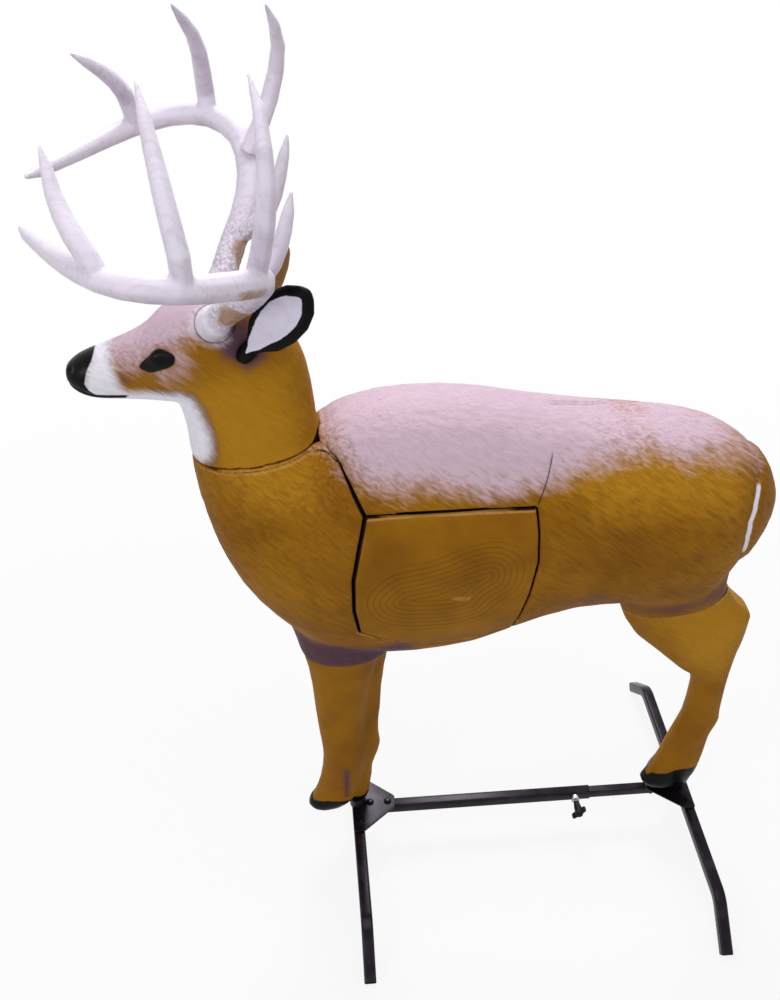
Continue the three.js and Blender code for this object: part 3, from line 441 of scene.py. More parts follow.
# Zones of paint, of painted shade and of painted light in the side view, in millimetres behind the front post
# and above the long bar.
# The mauve back: partly paint, partly a painted sheen of the sky along the top of the back.
BACK_SHEEN_ZONE = [
    (-60, 818), (-30, 806), (0, 788), (30, 774), (62, 761), (115, 757), (168, 758), (216, 760),
    (257, 762), (298, 772), (343, 780), (377, 787), (406, 786), (447, 772), (492, 767), (522, 766),
    (562, 752), (580, 742), (580, 900), (-60, 900),
]
FOREHEAD_ZONE = [
    (-330, 950), (-302, 936), (-285, 930), (-262, 941), (-247, 958), (-229, 968), (-205, 973),
    (-188, 984), (-165, 1000), (-140, 1040), (-330, 1040),
]
MUZZLE_ZONE = [
    (-322, 950), (-303, 948), (-297, 926), (-293, 906), (-284, 894), (-215, 891), (-204, 884),
    (-204, 866), (-365, 866), (-350, 893), (-337, 902), (-332, 920), (-323, 933),
]
THROAT_ZONE = [
    (-245, 884), (-206, 882), (-197, 868), (-191, 850), (-186, 830), (-185, 812), (-190, 797),
    (-200, 788), (-245, 788),
]
# Painted shade on the cheek.
CHEEK_SHADE = [(-300, 932), (-276, 926), (-264, 908), (-272, 893), (-298, 896)]
EYE_RING = [(-222, 962), (-205, 956), (-198, 940), (-208, 928), (-232, 926), (-216, 940)]
# Painted shade by the ear.
EAR_SHADE = [(-160, 985), (-125, 990), (-104, 945), (-128, 930), (-158, 948)]
EYE = [
    (-263, 931), (-253, 944), (-241, 957), (-229, 959), (-216, 952), (-219, 939), (-234, 931),
    (-250, 925),
]
NOSE = [
    (-390, 960), (-317, 950), (-323, 934), (-331, 921), (-336, 904), (-331, 893), (-324, 886),
    (-286, 885), (-286, 878), (-330, 876), (-340, 873), (-390, 870),
]
MOUTH = [(-362, 900), (-345, 893), (-330, 884), (-312, 881), (-284, 882)]
FRONT_HOOF = [
    (-110, 60), (-76, 58), (-66, 64), (-52, 70), (-34, 69), (-18, 66), (-8, 48), (6, 43), (30, 40),
    (30, 10), (-110, 10),
]
REAR_HOOF = [
    (480, 52), (508, 53), (516, 62), (526, 66), (538, 70), (551, 79), (566, 81), (590, 77), (610, 72),
    (610, 10), (480, 10),
]
# Painted shade at the foot of the chest, over the rump where the leg joins and under the belly.
CHEST_SHADE = [(-120, 466), (-60, 458), (-24, 455), (20, 458), (70, 475), (95, 440), (70, 380), (-120, 380)]
RUMP_SHADE = [(330, 452), (660, 512), (660, 534), (330, 474)]
BELLY_SHADE = [(275, 578), (345, 582), (405, 545), (400, 500), (300, 510)]
CLEFT = [(-18, 142), (-19, 80)]
# Golden zones: partly paint, partly painted light falling from above on the neck, rump and upper thigh.
LIT_GOLD_NECK = [(-215, 900), (-150, 925), (-75, 925), (-45, 800), (-60, 740), (-130, 730), (-175, 780)]
LIT_GOLD_RUMP = [
    (20, 775), (130, 752), (250, 752), (300, 745), (345, 712), (450, 705), (530, 690), (560, 770),
    (450, 800), (300, 800), (20, 790),
]
LIT_GOLD_THIGH = [(400, 500), (640, 530), (640, 400), (600, 300), (530, 330), (480, 400)]
# Seams between the mouldings.
NECK_SEAM = [(-344, 775), (-213, 780), (-129, 785), (-44, 798)]
SHOULDER_LINE = [
    (-44, 798), (-31, 801), (-16, 793), (-3, 767), (15, 726), (7, 685), (-3, 623), (-3, 565), (5, 515),
]
INSERT_TOP = [(15, 726), (86, 731), (169, 729), (247, 726)]
INSERT_REAR = [(247, 726), (252, 686), (254, 636), (246, 572), (234, 505)]
INSERT_LIP = [(5, 515), (49, 492), (107, 478), (165, 477), (234, 505)]
BELLY_SEAM = [(234, 505), (225, 400)]
FRONT_LEG_SEAM = [(-172, 400), (172, 400)]
REAR_LEG_SEAM = [(344, 441), (645, 495)]
REAR_CREASE = [(271, 796), (269, 788), (262, 764), (247, 726)]
# In the rear view: beside and above.
TAIL = [
    (-60, 716), (0, 735), (60, 716), (74, 695), (84, 665), (85, 640), (80, 605), (52, 565), (0, 545),
    (-52, 565), (-80, 605), (-85, 640), (-84, 665), (-74, 695),
]
TAIL_EDGE = [(58, 718), (74, 695), (84, 665), (85, 640), (80, 604)]
# In the top view: behind the front post and beside.
BACK_SLIT = [(272, 6), (296, 12), (319, 16), (340, 20), (365, 31)]
# Pressed rings of the vitals insert, in the side view.
LUNG_RING = [
    (20, 590), (51, 628), (105, 643), (177, 668), (213, 660), (230, 632), (224, 592), (198, 570),
    (178, 545), (128, 531), (62, 535), (28, 555),
]
HEART_RING = [(62, 582), (78, 596), (98, 594), (110, 578), (100, 562), (80, 558), (66, 566)]
AIM_MARK = [(130, 583), (139, 588), (156, 584), (164, 589), (160, 577), (146, 575)]


def views_of(piece):
    """A piece's points in the side, rear and top views, in millimetres."""
    rows = (points_of(piece) - np.array([POST, 0, BAR])) / MM
    return rows[:, [0, 2]], rows[:, [1, 2]], rows[:, [0, 1]], rows


# Materials


def add(tree, kind, inputs=None, **settings):
    """Adds a node with its settings; an input is a value or the output that feeds it."""
    made = tree.nodes.new(kind)
    for key, value in settings.items():
        setattr(made, key, value)
    for key, value in (inputs or {}).items():
        if isinstance(value, bpy.types.NodeSocket):
            tree.links.new(value, made.inputs[key])
        else:
            made.inputs[key].default_value = value
    return made


def new_material(name):
    """An empty node material with its output."""
    made = bpy.data.materials.new(name)
    made.use_nodes = True
    made.node_tree.nodes.clear()
    return made, made.node_tree, add(made.node_tree, "ShaderNodeOutputMaterial")


def hair_strokes(tree, place):
    """Noise in strokes, each hair_length long and hair_width wide, that fall towards the rump."""
    sizes = foam_sizes()
    turn = {"Vector": place, "Rotation": (0, -sizes.hair_slope, 0)}
    along = add(tree, "ShaderNodeMapping", turn, vector_type="POINT").outputs[0]
    stretch = (1 / sizes.hair_length, 1 / sizes.hair_width, 1 / sizes.hair_width)
    strokes = add(tree, "ShaderNodeVectorMath", {0: along, 1: stretch}, operation="MULTIPLY").outputs[0]
    lumps = {"Vector": strokes, "Scale": 1.0, "Detail": 3.0, "Distortion": 0.6}
    return add(tree, "ShaderNodeTexNoise", lumps).outputs[0]


def sprayed(tree, coat, hair, patches):
    """A coat with each spray laid over it, and the sprays' masks by name; some sprays are painted shade,
    sheen and light.
    """
    paint = colours()
    # The ragged edge of a spray, in millimetres either way.
    ragged = add(tree, "ShaderNodeMath", {0: hair, 1: 52.0, 2: -26.0}, operation="MULTIPLY_ADD").outputs[0]
    wander = add(tree, "ShaderNodeMath", {0: patches, 1: 60.0, 2: -30.0}, operation="MULTIPLY_ADD").outputs[0]
    spray = add(tree, "ShaderNodeMath", {0: ragged, 1: wander}, operation="ADD").outputs[0]
    # Each spray: the field it follows, how ragged it is, how soft in millimetres, its strength and colour.
    sprays = [
        # The gold partly stands for light falling from above, the grey-purple is painted shade, the mauve on
        # the back is partly a painted sheen of the sky, and the light edge tint is a painted highlight.
        ("gold", 0.7, 40.0, 0.8, paint.gold),
        ("haze", 0.3, 11.0, 0.92, paint.haze),
        ("mauve", 0.85, 24.0, 0.93, paint.mauve),
        ("rubbed", 0.03, 1.2, 0.5, paint.rubbed),
        ("white", 0.2, 10.0, 0.97, paint.white),
        ("black", 0.0, 1.0, 1.0, paint.black),
    ]
    masks = {}
    for zone, ragged_share, soft, strength, tint in sprays:
        reach = add(tree, "ShaderNodeAttribute", attribute_name=zone).outputs["Fac"]
        inputs = {0: spray, 1: ragged_share, 2: reach}
        edge = add(tree, "ShaderNodeMath", inputs, operation="MULTIPLY_ADD").outputs[0]
        masks[zone] = add(
            tree,
            "ShaderNodeMapRange",
            {0: edge, 1: -soft, 2: soft, 3: 0.0, 4: strength},
            interpolation_type="SMOOTHSTEP",
        ).outputs[0]
        coat = add(tree, "ShaderNodeMix", {0: masks[zone], 6: coat, 7: tint}, data_type="RGBA").outputs[2]
    return coat, masks


def scored_over(tree, coat, patches, share, step):
    """A coat with its scored lines in the colour of the core, and the lines' mask."""
    score = add(tree, "ShaderNodeAttribute", attribute_name="score").outputs["Fac"]
    shown = add(tree, "ShaderNodeAttribute", attribute_name="score_shown").outputs["Fac"]
    # A faint line wavers by up to nine millimetres, a plain one not at all.
    waver = {0: patches, 1: 9.0 * (1 - share), 2: score}
    score = add(tree, "ShaderNodeMath", waver, operation="MULTIPLY_ADD").outputs[0]
    away = add(tree, "ShaderNodeMath", {0: score, 1: step / 2}, operation="PINGPONG").outputs[0]
    # The lines are about two millimetres wide.
    scratch = add(
        tree,
        "ShaderNodeMapRange",
        {0: away, 1: 1.5, 2: 0.4, 3: 0.0, 4: share},
        interpolation_type="SMOOTHSTEP",
    ).outputs[0]
    scratch = add(tree, "ShaderNodeMath", {0: scratch, 1: shown}, operation="MULTIPLY").outputs[0]
    inputs = {0: scratch, 6: coat, 7: colours().core}
    return add(tree, "ShaderNodeMix", inputs, data_type="RGBA").outputs[2], scratch


def striped_over(tree, coat):
    """A coat with its brushed white stripe, about four millimetres wide."""
    stripe = add(tree, "ShaderNodeAttribute", attribute_name="stripe").outputs["Fac"]
    shown = add(tree, "ShaderNodeAttribute", attribute_name="stripe_shown").outputs["Fac"]
    beside = add(tree, "ShaderNodeMath", {0: stripe}, operation="ABSOLUTE").outputs[0]
    brushed = add(
        tree,
        "ShaderNodeMapRange",
        {0: beside, 1: 2.6, 2: 1.4, 3: 0.0, 4: 0.85},
        interpolation_type="SMOOTHSTEP",
    ).outputs[0]
    brushed = add(tree, "ShaderNodeMath", {0: brushed, 1: shown}, operation="MULTIPLY").outputs[0]
    inputs = {0: brushed, 6: coat, 7: colours().white}
    return add(tree, "ShaderNodeMix", inputs, data_type="RGBA").outputs[2]


def foam_coat(tree, place):
    """The mottled coat under the sprays: ochre with browner and more golden patches."""
    paint = colours()
    inputs = {"Vector": place, "Scale": 1 / (70 * MM), "Detail": 2.0}
    patches = add(tree, "ShaderNodeTexNoise", inputs).outputs[0]
    inputs = {"Vector": place, "Scale": 1 / (120 * MM), "Detail": 3.0}
    specks = add(tree, "ShaderNodeTexNoise", inputs).outputs[0]
    dark = add(
        tree,
        "ShaderNodeMapRange",
        {0: patches, 1: 0.3, 2: 0.75, 3: 0.0, 4: 0.7},
        interpolation_type="SMOOTHSTEP",
    ).outputs[0]
    coat = add(tree, "ShaderNodeMix", {0: dark, 6: paint.ochre, 7: paint.brown}, data_type="RGBA").outputs[2]
    light = add(
        tree,
        "ShaderNodeMapRange",
        {0: specks, 1: 0.4, 2: 0.8, 3: 0.0, 4: 0.3},
        interpolation_type="SMOOTHSTEP",
    ).outputs[0]
    coat = add(tree, "ShaderNodeMix", {0: light, 6: coat, 7: paint.gold}, data_type="RGBA").outputs[2]
    return coat, patches


def painted_foam(name, hair_depth, hair_share, score_share=1.0, score_step=8.0):
    """Self-skinning polyurethane foam, sprayed with matt paints over a moulded coat of hair.

    The strokes of hair catch the light, and each spray of paint ends in a ragged edge along them.
    Scored lines are dark and sunk; where their field goes on, they repeat at every step in millimetres.
    """
    made, tree, output = new_material(name)
    paint = colours()
    place = add(tree, "ShaderNodeTexCoord").outputs["Object"]
    hair = hair_strokes(tree, place)
    coat, patches = foam_coat(tree, place)
    coat, masks = sprayed(tree, coat, hair, patches)
    # Painted shade in the hollows between strokes of hair, and less of it under the mauve.
    stroke_shade = {0: hair, 1: 0.3, 2: 0.62, 3: 0.3 * hair_share, 4: 0.0}
    hollow = add(tree, "ShaderNodeMapRange", stroke_shade).outputs[0]
    inputs = {0: masks["mauve"], 1: -0.6, 2: 1.0}
    kept = add(tree, "ShaderNodeMath", inputs, operation="MULTIPLY_ADD").outputs[0]
    hollow = add(tree, "ShaderNodeMath", {0: hollow, 1: kept}, operation="MULTIPLY").outputs[0]
    inputs = {0: hollow, 6: coat, 7: paint.brown}
    coat = add(tree, "ShaderNodeMix", inputs, data_type="RGBA", blend_type="MULTIPLY").outputs[2]
    # The bare core shows where the paint stops inside a seam; at the shoulder seam the dark band is widened
    # into painted shadow of the gap.
    seam = add(tree, "ShaderNodeAttribute", attribute_name="seam").outputs["Fac"]
    bare = add(
        tree,
        "ShaderNodeMapRange",
        {0: seam, 1: 1.2, 2: 0.4, 3: 0.0, 4: 1.0},
        interpolation_type="SMOOTHSTEP",
    ).outputs[0]
    coat = add(tree, "ShaderNodeMix", {0: bare, 6: coat, 7: paint.core}, data_type="RGBA").outputs[2]
    coat, scratch = scored_over(tree, coat, patches, score_share, score_step)
    coat = striped_over(tree, coat)
    # Paint roughness: matt coat, half gloss where the black is brushed on.
    gloss = add(tree, "ShaderNodeMapRange", {0: masks["black"], 3: 0.62, 4: 0.3}).outputs[0]
    # A dimpled skin about two millimetres across, from the mould's own surface.
    inputs = {"Vector": place, "Scale": 1 / (2.2 * MM), "Detail": 2.0}
    dimples = add(tree, "ShaderNodeTexNoise", inputs).outputs[0]
    relief = add(tree, "ShaderNodeMath", {0: dimples, 1: 0.12}, operation="MULTIPLY").outputs[0]
    relief = add(tree, "ShaderNodeMath", {0: relief, 1: scratch}, operation="SUBTRACT").outputs[0]
    inputs = {0: hair, 1: hair_share, 2: relief}
    height = add(tree, "ShaderNodeMath", inputs, operation="MULTIPLY_ADD").outputs[0]
    bump = add(tree, "ShaderNodeBump", {"Height": height, "Strength": 0.8, "Distance": hair_depth}).outputs[0]
    surface = add(
        tree,
        "ShaderNodeBsdfPrincipled",
        {"Base Color": coat, "Roughness": gloss, "Normal": bump, "IOR": 1.46, "Specular IOR Level": 0.12},
    )
    tree.links.new(surface.outputs[0], output.inputs[0])
    return made


def antler_resin():
    """Rigid urethane antlers, off-white with a random mauve wash, and painted shade in their gutters, between
    their pearls and on their lower sides.
    """
    made, tree, output = new_material("antler_urethane")
    paint = colours()
    place = add(tree, "ShaderNodeTexCoord").outputs["Object"]
    # Gutters run along the beam: fine lines about four millimetres apart, wandering with the grain.
    inputs = {0: place, 1: (40.0, 260.0, 90.0)}
    grain = add(tree, "ShaderNodeVectorMath", inputs, operation="MULTIPLY").outputs[0]
    gutters = add(tree, "ShaderNodeTexNoise", {"Vector": grain, "Scale": 1.0, "Detail": 4.0}).outputs[0]
    inputs = {"Vector": place, "Scale": 1 / (45 * MM), "Detail": 3.0}
    wash = add(tree, "ShaderNodeTexNoise", inputs).outputs[0]
    under = add(tree, "ShaderNodeAttribute", attribute_name="underside_shade").outputs["Fac"]
    spray = add(tree, "ShaderNodeAttribute", attribute_name="overspray").outputs["Fac"]
    pearls = add(tree, "ShaderNodeAttribute", attribute_name="pearls").outputs["Fac"]
    # Painted shade on the downward-facing sides, over a random mauve wash.
    amount = add(tree, "ShaderNodeMath", {0: wash, 1: 0.9, 2: under}, operation="MULTIPLY_ADD").outputs[0]
    tinted = add(
        tree,
        "ShaderNodeMapRange",
        {0: amount, 1: 0.45, 2: 1.25, 3: 0.0, 4: 0.85},
        interpolation_type="SMOOTHSTEP",
    ).outputs[0]
    inputs = {0: tinted, 6: paint.antler, 7: paint.antler_shade}
    coat = add(tree, "ShaderNodeMix", inputs, data_type="RGBA").outputs[2]
    # Painted shade in the gutters' low places.
    lines = add(tree, "ShaderNodeMapRange", {0: gutters, 1: 0.3, 2: 0.5, 3: 0.22, 4: 0.0}).outputs[0]
    coat = add(tree, "ShaderNodeMix", {0: lines, 6: coat, 7: paint.antler_shade}, data_type="RGBA").outputs[2]
    # Painted shade between the pearls.
    cells = add(tree, "ShaderNodeTexVoronoi", {"Vector": place, "Scale": 1 / (4.2 * MM)}).outputs["Distance"]
    gaps = add(tree, "ShaderNodeMapRange", {0: cells, 1: 0.3, 2: 0.75, 3: 0.0, 4: 0.4}).outputs[0]
    between = add(tree, "ShaderNodeMath", {0: gaps, 1: pearls}, operation="MULTIPLY").outputs[0]
    coat = add(tree, "ShaderNodeMix", {0: between, 6: coat, 7: paint.haze}, data_type="RGBA").outputs[2]
    patchy = add(tree, "ShaderNodeMath", {0: wash, 1: spray}, operation="MULTIPLY").outputs[0]
    dusted = add(
        tree,
        "ShaderNodeMapRange",
        {0: patchy, 1: 0.2, 2: 0.5, 3: 0.0, 4: 0.75},
        interpolation_type="SMOOTHSTEP",
    ).outputs[0]
    coat = add(tree, "ShaderNodeMix", {0: dusted, 6: coat, 7: paint.ochre}, data_type="RGBA").outputs[2]
    bump = add(tree, "ShaderNodeBump", {"Height": gutters, "Strength": 0.35, "Distance": 0.8 * MM}).outputs[0]
    surface = add(
        tree,
        "ShaderNodeBsdfPrincipled",
        {"Base Color": coat, "Roughness": 0.42, "Normal": bump, "IOR": 1.49, "Specular IOR Level": 0.3},
    )
    tree.links.new(surface.outputs[0], output.inputs[0])
    return made


def ear_rubber():
    """Soft moulded ears, brush-painted: black rim, pale lining and a brown back."""
    made, tree, output = new_material("painted_ear_rubber")
    paint = colours()
    place = add(tree, "ShaderNodeTexCoord").outputs["Object"]
    inputs = {"Vector": place, "Scale": 1 / (14 * MM), "Detail": 3.0}
    brush = add(tree, "ShaderNodeTexNoise", inputs).outputs[0]
    wobble = add(tree, "ShaderNodeMath", {0: brush, 1: 3.0, 2: -1.5}, operation="MULTIPLY_ADD").outputs[0]
    rim = add(tree, "ShaderNodeAttribute", attribute_name="rim").outputs["Fac"]
    back = add(tree, "ShaderNodeAttribute", attribute_name="back").outputs["Fac"]
    inset = add(tree, "ShaderNodeMath", {0: rim, 1: wobble}, operation="ADD").outputs[0]
    lining_mask = add(
        tree,
        "ShaderNodeMapRange",
        {0: inset, 1: 10.8, 2: 12.2, 3: 0.0, 4: 1.0},
        interpolation_type="SMOOTHSTEP",
    ).outputs[0]
    shaded = add(tree, "ShaderNodeMapRange", {0: brush, 1: 0.35, 2: 0.7, 3: 0.0, 4: 0.35}).outputs[0]
    inputs = {0: shaded, 6: paint.lining, 7: paint.mauve}
    lining = add(tree, "ShaderNodeMix", inputs, data_type="RGBA").outputs[2]
    inputs = {0: lining_mask, 6: paint.black, 7: lining}
    front = add(tree, "ShaderNodeMix", inputs, data_type="RGBA").outputs[2]
    inputs = {0: shaded, 6: paint.brown, 7: paint.ochre}
    outer = add(tree, "ShaderNodeMix", inputs, data_type="RGBA").outputs[2]
    behind = add(
        tree,
        "ShaderNodeMapRange",
        {0: back, 1: 0.15, 2: 0.45, 3: 0.0, 4: 1.0},
        interpolation_type="SMOOTHSTEP",
    ).outputs[0]
    coat = add(tree, "ShaderNodeMix", {0: behind, 6: front, 7: outer}, data_type="RGBA").outputs[2]
    inputs = {"Vector": place, "Scale": 1 / (1.6 * MM), "Detail": 2.0}
    fine = add(tree, "ShaderNodeTexNoise", inputs).outputs[0]
    bump = add(tree, "ShaderNodeBump", {"Height": fine, "Strength": 0.25, "Distance": 0.4 * MM}).outputs[0]
    surface = add(
        tree,
        "ShaderNodeBsdfPrincipled",
        {"Base Color": coat, "Roughness": 0.5, "Normal": bump, "IOR": 1.5, "Specular IOR Level": 0.07},
    )
    tree.links.new(surface.outputs[0], output.inputs[0])
    return made


def powder_coat():
    """Gloss powder coat on steel: a faint orange peel, and dust that dulls it in patches."""
    made, tree, output = new_material("gloss_powder_coat")
    paint = colours()
    place = add(tree, "ShaderNodeTexCoord").outputs["Object"]
    inputs = {"Vector": place, "Scale": 1 / (2.5 * MM), "Detail": 1.0}
    peel = add(tree, "ShaderNodeTexNoise", inputs).outputs[0]
    inputs = {"Vector": place, "Scale": 1 / (38 * MM), "Detail": 4.0}
    dust = add(tree, "ShaderNodeTexNoise", inputs).outputs[0]
    veil = add(
        tree,
        "ShaderNodeMapRange",
        {0: dust, 1: 0.45, 2: 0.8, 3: 0.0, 4: 0.06},
        interpolation_type="SMOOTHSTEP",
    ).outputs[0]
    inputs = {0: veil, 6: paint.powder, 7: paint.antler_shade}
    coat = add(tree, "ShaderNodeMix", inputs, data_type="RGBA").outputs[2]
    rough = add(tree, "ShaderNodeMapRange", {0: dust, 1: 0.3, 2: 0.8, 3: 0.22, 4: 0.36}).outputs[0]
    bump = add(tree, "ShaderNodeBump", {"Height": peel, "Strength": 0.12, "Distance": 0.3 * MM}).outputs[0]
    surface = add(
        tree,
        "ShaderNodeBsdfPrincipled",
        {
            "Base Color": coat,
            "Roughness": rough,
            "Normal": bump,
            "IOR": 1.55,
            "Specular IOR Level": 0.14,
            # The gloss has a faint violet cast.
            "Specular Tint": (0.95, 0.82, 1.0, 1.0),
        },
    )
    tree.links.new(surface.outputs[0], output.inputs[0])
    return made


def zinc_plate():
    """Bright zinc plating on turned steel: fine lathe lines and a dull bloom."""
    made, tree, output = new_material("zinc_plated_steel")
    paint = colours()
    place = add(tree, "ShaderNodeTexCoord").outputs["Object"]
    # Lathe lines half a millimetre apart, drawn twice as coarse so that they show.
    inputs = {0: place, 1: (60.0, 60.0, 1000.0)}
    rings = add(tree, "ShaderNodeVectorMath", inputs, operation="MULTIPLY").outputs[0]
    lines = add(tree, "ShaderNodeTexNoise", {"Vector": rings, "Scale": 1.0, "Detail": 2.0}).outputs[0]
    inputs = {"Vector": place, "Scale": 1 / (9 * MM), "Detail": 4.0}
    bloom = add(tree, "ShaderNodeTexNoise", inputs).outputs[0]
    rough = add(tree, "ShaderNodeMapRange", {0: bloom, 1: 0.3, 2: 0.75, 3: 0.24, 4: 0.5}).outputs[0]
    dull = add(tree, "ShaderNodeMapRange", {0: bloom, 1: 0.4, 2: 0.8, 3: 0.0, 4: 0.4}).outputs[0]
    inputs = {0: dull, 6: paint.zinc, 7: paint.antler_shade}
    coat = add(tree, "ShaderNodeMix", inputs, data_type="RGBA").outputs[2]
    bump = add(tree, "ShaderNodeBump", {"Height": lines, "Strength": 0.2, "Distance": 0.1 * MM}).outputs[0]
    surface = add(
        tree,
        "ShaderNodeBsdfPrincipled",
        {"Base Color": coat, "Metallic": 1.0, "Roughness": rough, "Normal": bump},
    )
    tree.links.new(surface.outputs[0], output.inputs[0])
    return made


def moulded_nylon():
    """Black moulded nylon with a fine spark-eroded grain."""
    made, tree, output = new_material("moulded_nylon")
    paint = colours()
    place = add(tree, "ShaderNodeTexCoord").outputs["Object"]
    inputs = {"Vector": place, "Scale": 1 / (0.9 * MM), "Detail": 2.0}
    grain = add(tree, "ShaderNodeTexNoise", inputs).outputs[0]
    inputs = {"Vector": place, "Scale": 1 / (12 * MM), "Detail": 3.0}
    wear_and_highlight = add(tree, "ShaderNodeTexNoise", inputs).outputs[0]
    rough = add(tree, "ShaderNodeMapRange", {0: wear_and_highlight, 1: 0.3, 2: 0.7, 3: 0.38, 4: 0.58}).outputs[0]
    veil = add(tree, "ShaderNodeMapRange", {0: wear_and_highlight, 1: 0.5, 2: 0.8, 3: 0.0, 4: 0.12}).outputs[0]
    inputs = {0: veil, 6: paint.plastic, 7: paint.antler_shade}
    coat = add(tree, "ShaderNodeMix", inputs, data_type="RGBA").outputs[2]
    bump = add(tree, "ShaderNodeBump", {"Height": grain, "Strength": 0.3, "Distance": 0.15 * MM}).outputs[0]
    surface = add(
        tree,
        "ShaderNodeBsdfPrincipled",
        {"Base Color": coat, "Roughness": rough, "Normal": bump, "IOR": 1.53, "Specular IOR Level": 0.12},
    )
    tree.links.new(surface.outputs[0], output.inputs[0])
    return made


def turned_beech():
    """Plain beech dowel: pale wood with short dark flecks along the grain."""
    made, tree, output = new_material("turned_beech")
    paint = colours()
    place = add(tree, "ShaderNodeTexCoord").outputs["Object"]
    # Grain lines are about a millimetre wide and run along the dowel.
    inputs = {0: place, 1: (35.0, 700.0, 700.0)}
    grain = add(tree, "ShaderNodeVectorMath", inputs, operation="MULTIPLY").outputs[0]
    lines = add(tree, "ShaderNodeTexNoise", {"Vector": grain, "Scale": 1.0, "Detail": 4.0}).outputs[0]
    flecks = add(tree, "ShaderNodeMapRange", {0: lines, 1: 0.35, 2: 0.7, 3: 0.6, 4: 0.0}).outputs[0]
    inputs = {0: flecks, 6: paint.timber, 7: paint.ochre}
    coat = add(tree, "ShaderNodeMix", inputs, data_type="RGBA").outputs[2]
    bump = add(tree, "ShaderNodeBump", {"Height": lines, "Strength": 0.3, "Distance": 0.2 * MM}).outputs[0]
    surface = add(
        tree, "ShaderNodeBsdfPrincipled", {"Base Color": coat, "Roughness": 0.6, "Normal": bump, "IOR": 1.5}
    )
    tree.links.new(surface.outputs[0], output.inputs[0])
    return made


def finish(name, maker, *settings):
    """A finish by name, made the first time that it is asked for."""
    return bpy.data.materials.get(name) or maker(*settings)


def body_coat():
    return finish("haired_foam", painted_foam, "haired_foam", 1.5 * MM, 1.0, 0.75)


def smooth_coat():
    return finish("smooth_foam", painted_foam, "smooth_foam", 0.7 * MM, 0.35)


def ringed_coat():
    return finish("ringed_foam", painted_foam, "ringed_foam", 0.7 * MM, 0.35, 0.28, 9.0)


def steel_coat():
    return finish("gloss_powder_coat", powder_coat)


def zinc_coat():
    return finish("zinc_plated_steel", zinc_plate)


def black_nylon():
    return finish("moulded_nylon", moulded_nylon)


# Foam mouldings

SKIN_NODES = (
    "front_body_section",
    "rear_body_section",
    "vitals_insert",
    "head_and_neck",
    "front_leg",
    "rear_leg",
)
TUFTS = "moulded_tufts"


def tuft_texture():
    """Clouds for the tufts of hair, stretched along the hair by a helper."""
    made = bpy.data.textures.get(TUFTS)
    if not made:
        made = bpy.data.textures.new(TUFTS, "CLOUDS")
        made.noise_scale = 1
        made.noise_depth = 2
    helper = bpy.data.objects.get(TUFTS)
    if not helper:
        sizes = foam_sizes()
        helper = bpy.data.objects.new(TUFTS, None)
        bpy.context.scene.collection.objects.link(helper)
        helper.rotation_euler = (0, sizes.hair_slope, 0)
        helper.scale = (1.5 * sizes.hair_length, 2.4 * sizes.hair_width, 2.4 * sizes.hair_width)
        bpy.context.view_layer.update()
    return made, helper


def outer_points(piece, skin, reach=8 * MM):
    """Which points of a moulding lie on the outside of the whole target."""
    pick(skin)
    tree = BVHTree.FromObject(skin, bpy.context.evaluated_depsgraph_get())
    rows, normals = points_of(piece), normals_of(piece)
    marks = np.zeros(len(rows), bool)
    for i, (point, normal) in enumerate(zip(rows, normals)):
        place, facing, _, _ = tree.find_nearest(point, reach)
        marks[i] = place is not None and facing.dot(Vector(normal)) > 0.35
    return marks


def edge_distance(piece, outer, far=40.0):
    """How far each outer point lies from the edge of its moulding, in millimetres; 0 inside."""
    rows = points_of(piece)
    inner = np.flatnonzero(~outer)
    tree = KDTree(max(len(inner), 1))
    for i in inner:
        tree.insert(rows[i], int(i))
    tree.balance()
    found = np.zeros(len(rows))
    for i in np.flatnonzero(outer):
        nearest = tree.find(rows[i]) if len(inner) else (None, None, far * MM)
        found[i] = min(nearest[2] / MM, far)
    return found


def foam_moulding(name, node, grain, smoothing):
    """A fine copy of a foam node that follows the shared skin outside and keeps its joints inside."""
    skin = bpy.data.objects["target_skin"]
    piece = copy_of(node, name)
    modify(piece, "REMESH", mode="VOXEL", voxel_size=grain)
    outer = outer_points(piece, skin)
    mark = group(piece, "outer", outer.astype(float))
    modify(
        piece,
        "SHRINKWRAP",
        target=skin,
        wrap_method="NEAREST_SURFACEPOINT",
        vertex_group=mark,
    )
    modify(piece, "SMOOTH", factor=0.5, iterations=smoothing, vertex_group=mark)
    return piece, outer


def raise_hair(piece, weights):
    """Lifts the moulded tufts of hair out of a moulding's surface."""
    texture, helper = tuft_texture()
    mark = group(piece, "hair", weights)
    modify(
        piece,
        "DISPLACE",
        texture=texture,
        texture_coords="OBJECT",
        texture_coords_object=helper,
        strength=foam_sizes().tuft,
        mid_level=0.5,
        vertex_group=mark,
    )


def soften_edge(piece, away):
    """Rounds a moulding's edge over, where away is the distance of each point from its seams."""
    smoothed(piece, 6, "edge", bell(away, 4))


def draw_in(away, outer):
    """How far each outer point is drawn in next to a seam, in millimetres."""
    sizes = foam_sizes()
    return -sizes.seam_depth / MM * bell(away, sizes.seam_width / MM) * outer


def paint_zones(piece, seam, outer, **zones):
    """Stores how far each point lies inside each zone of paint, painted shade and painted light; the cut
    faces stay bare.
    """
    depth = edge_distance(piece, ~outer)
    blank = np.full(len(piece.data.vertices), OUTSIDE)
    for name in ("gold", "haze", "mauve", "rubbed", "white", "black"):
        field(piece, name, zones.get(name, blank))
    field(piece, "seam", np.minimum(seam, 4.2 - 0.7 * depth))
    for name in ("score", "stripe"):
        away, plain = zones.get(name, (blank, blank * 0))
        field(piece, name, away)
        field(piece, name + "_shown", plain)


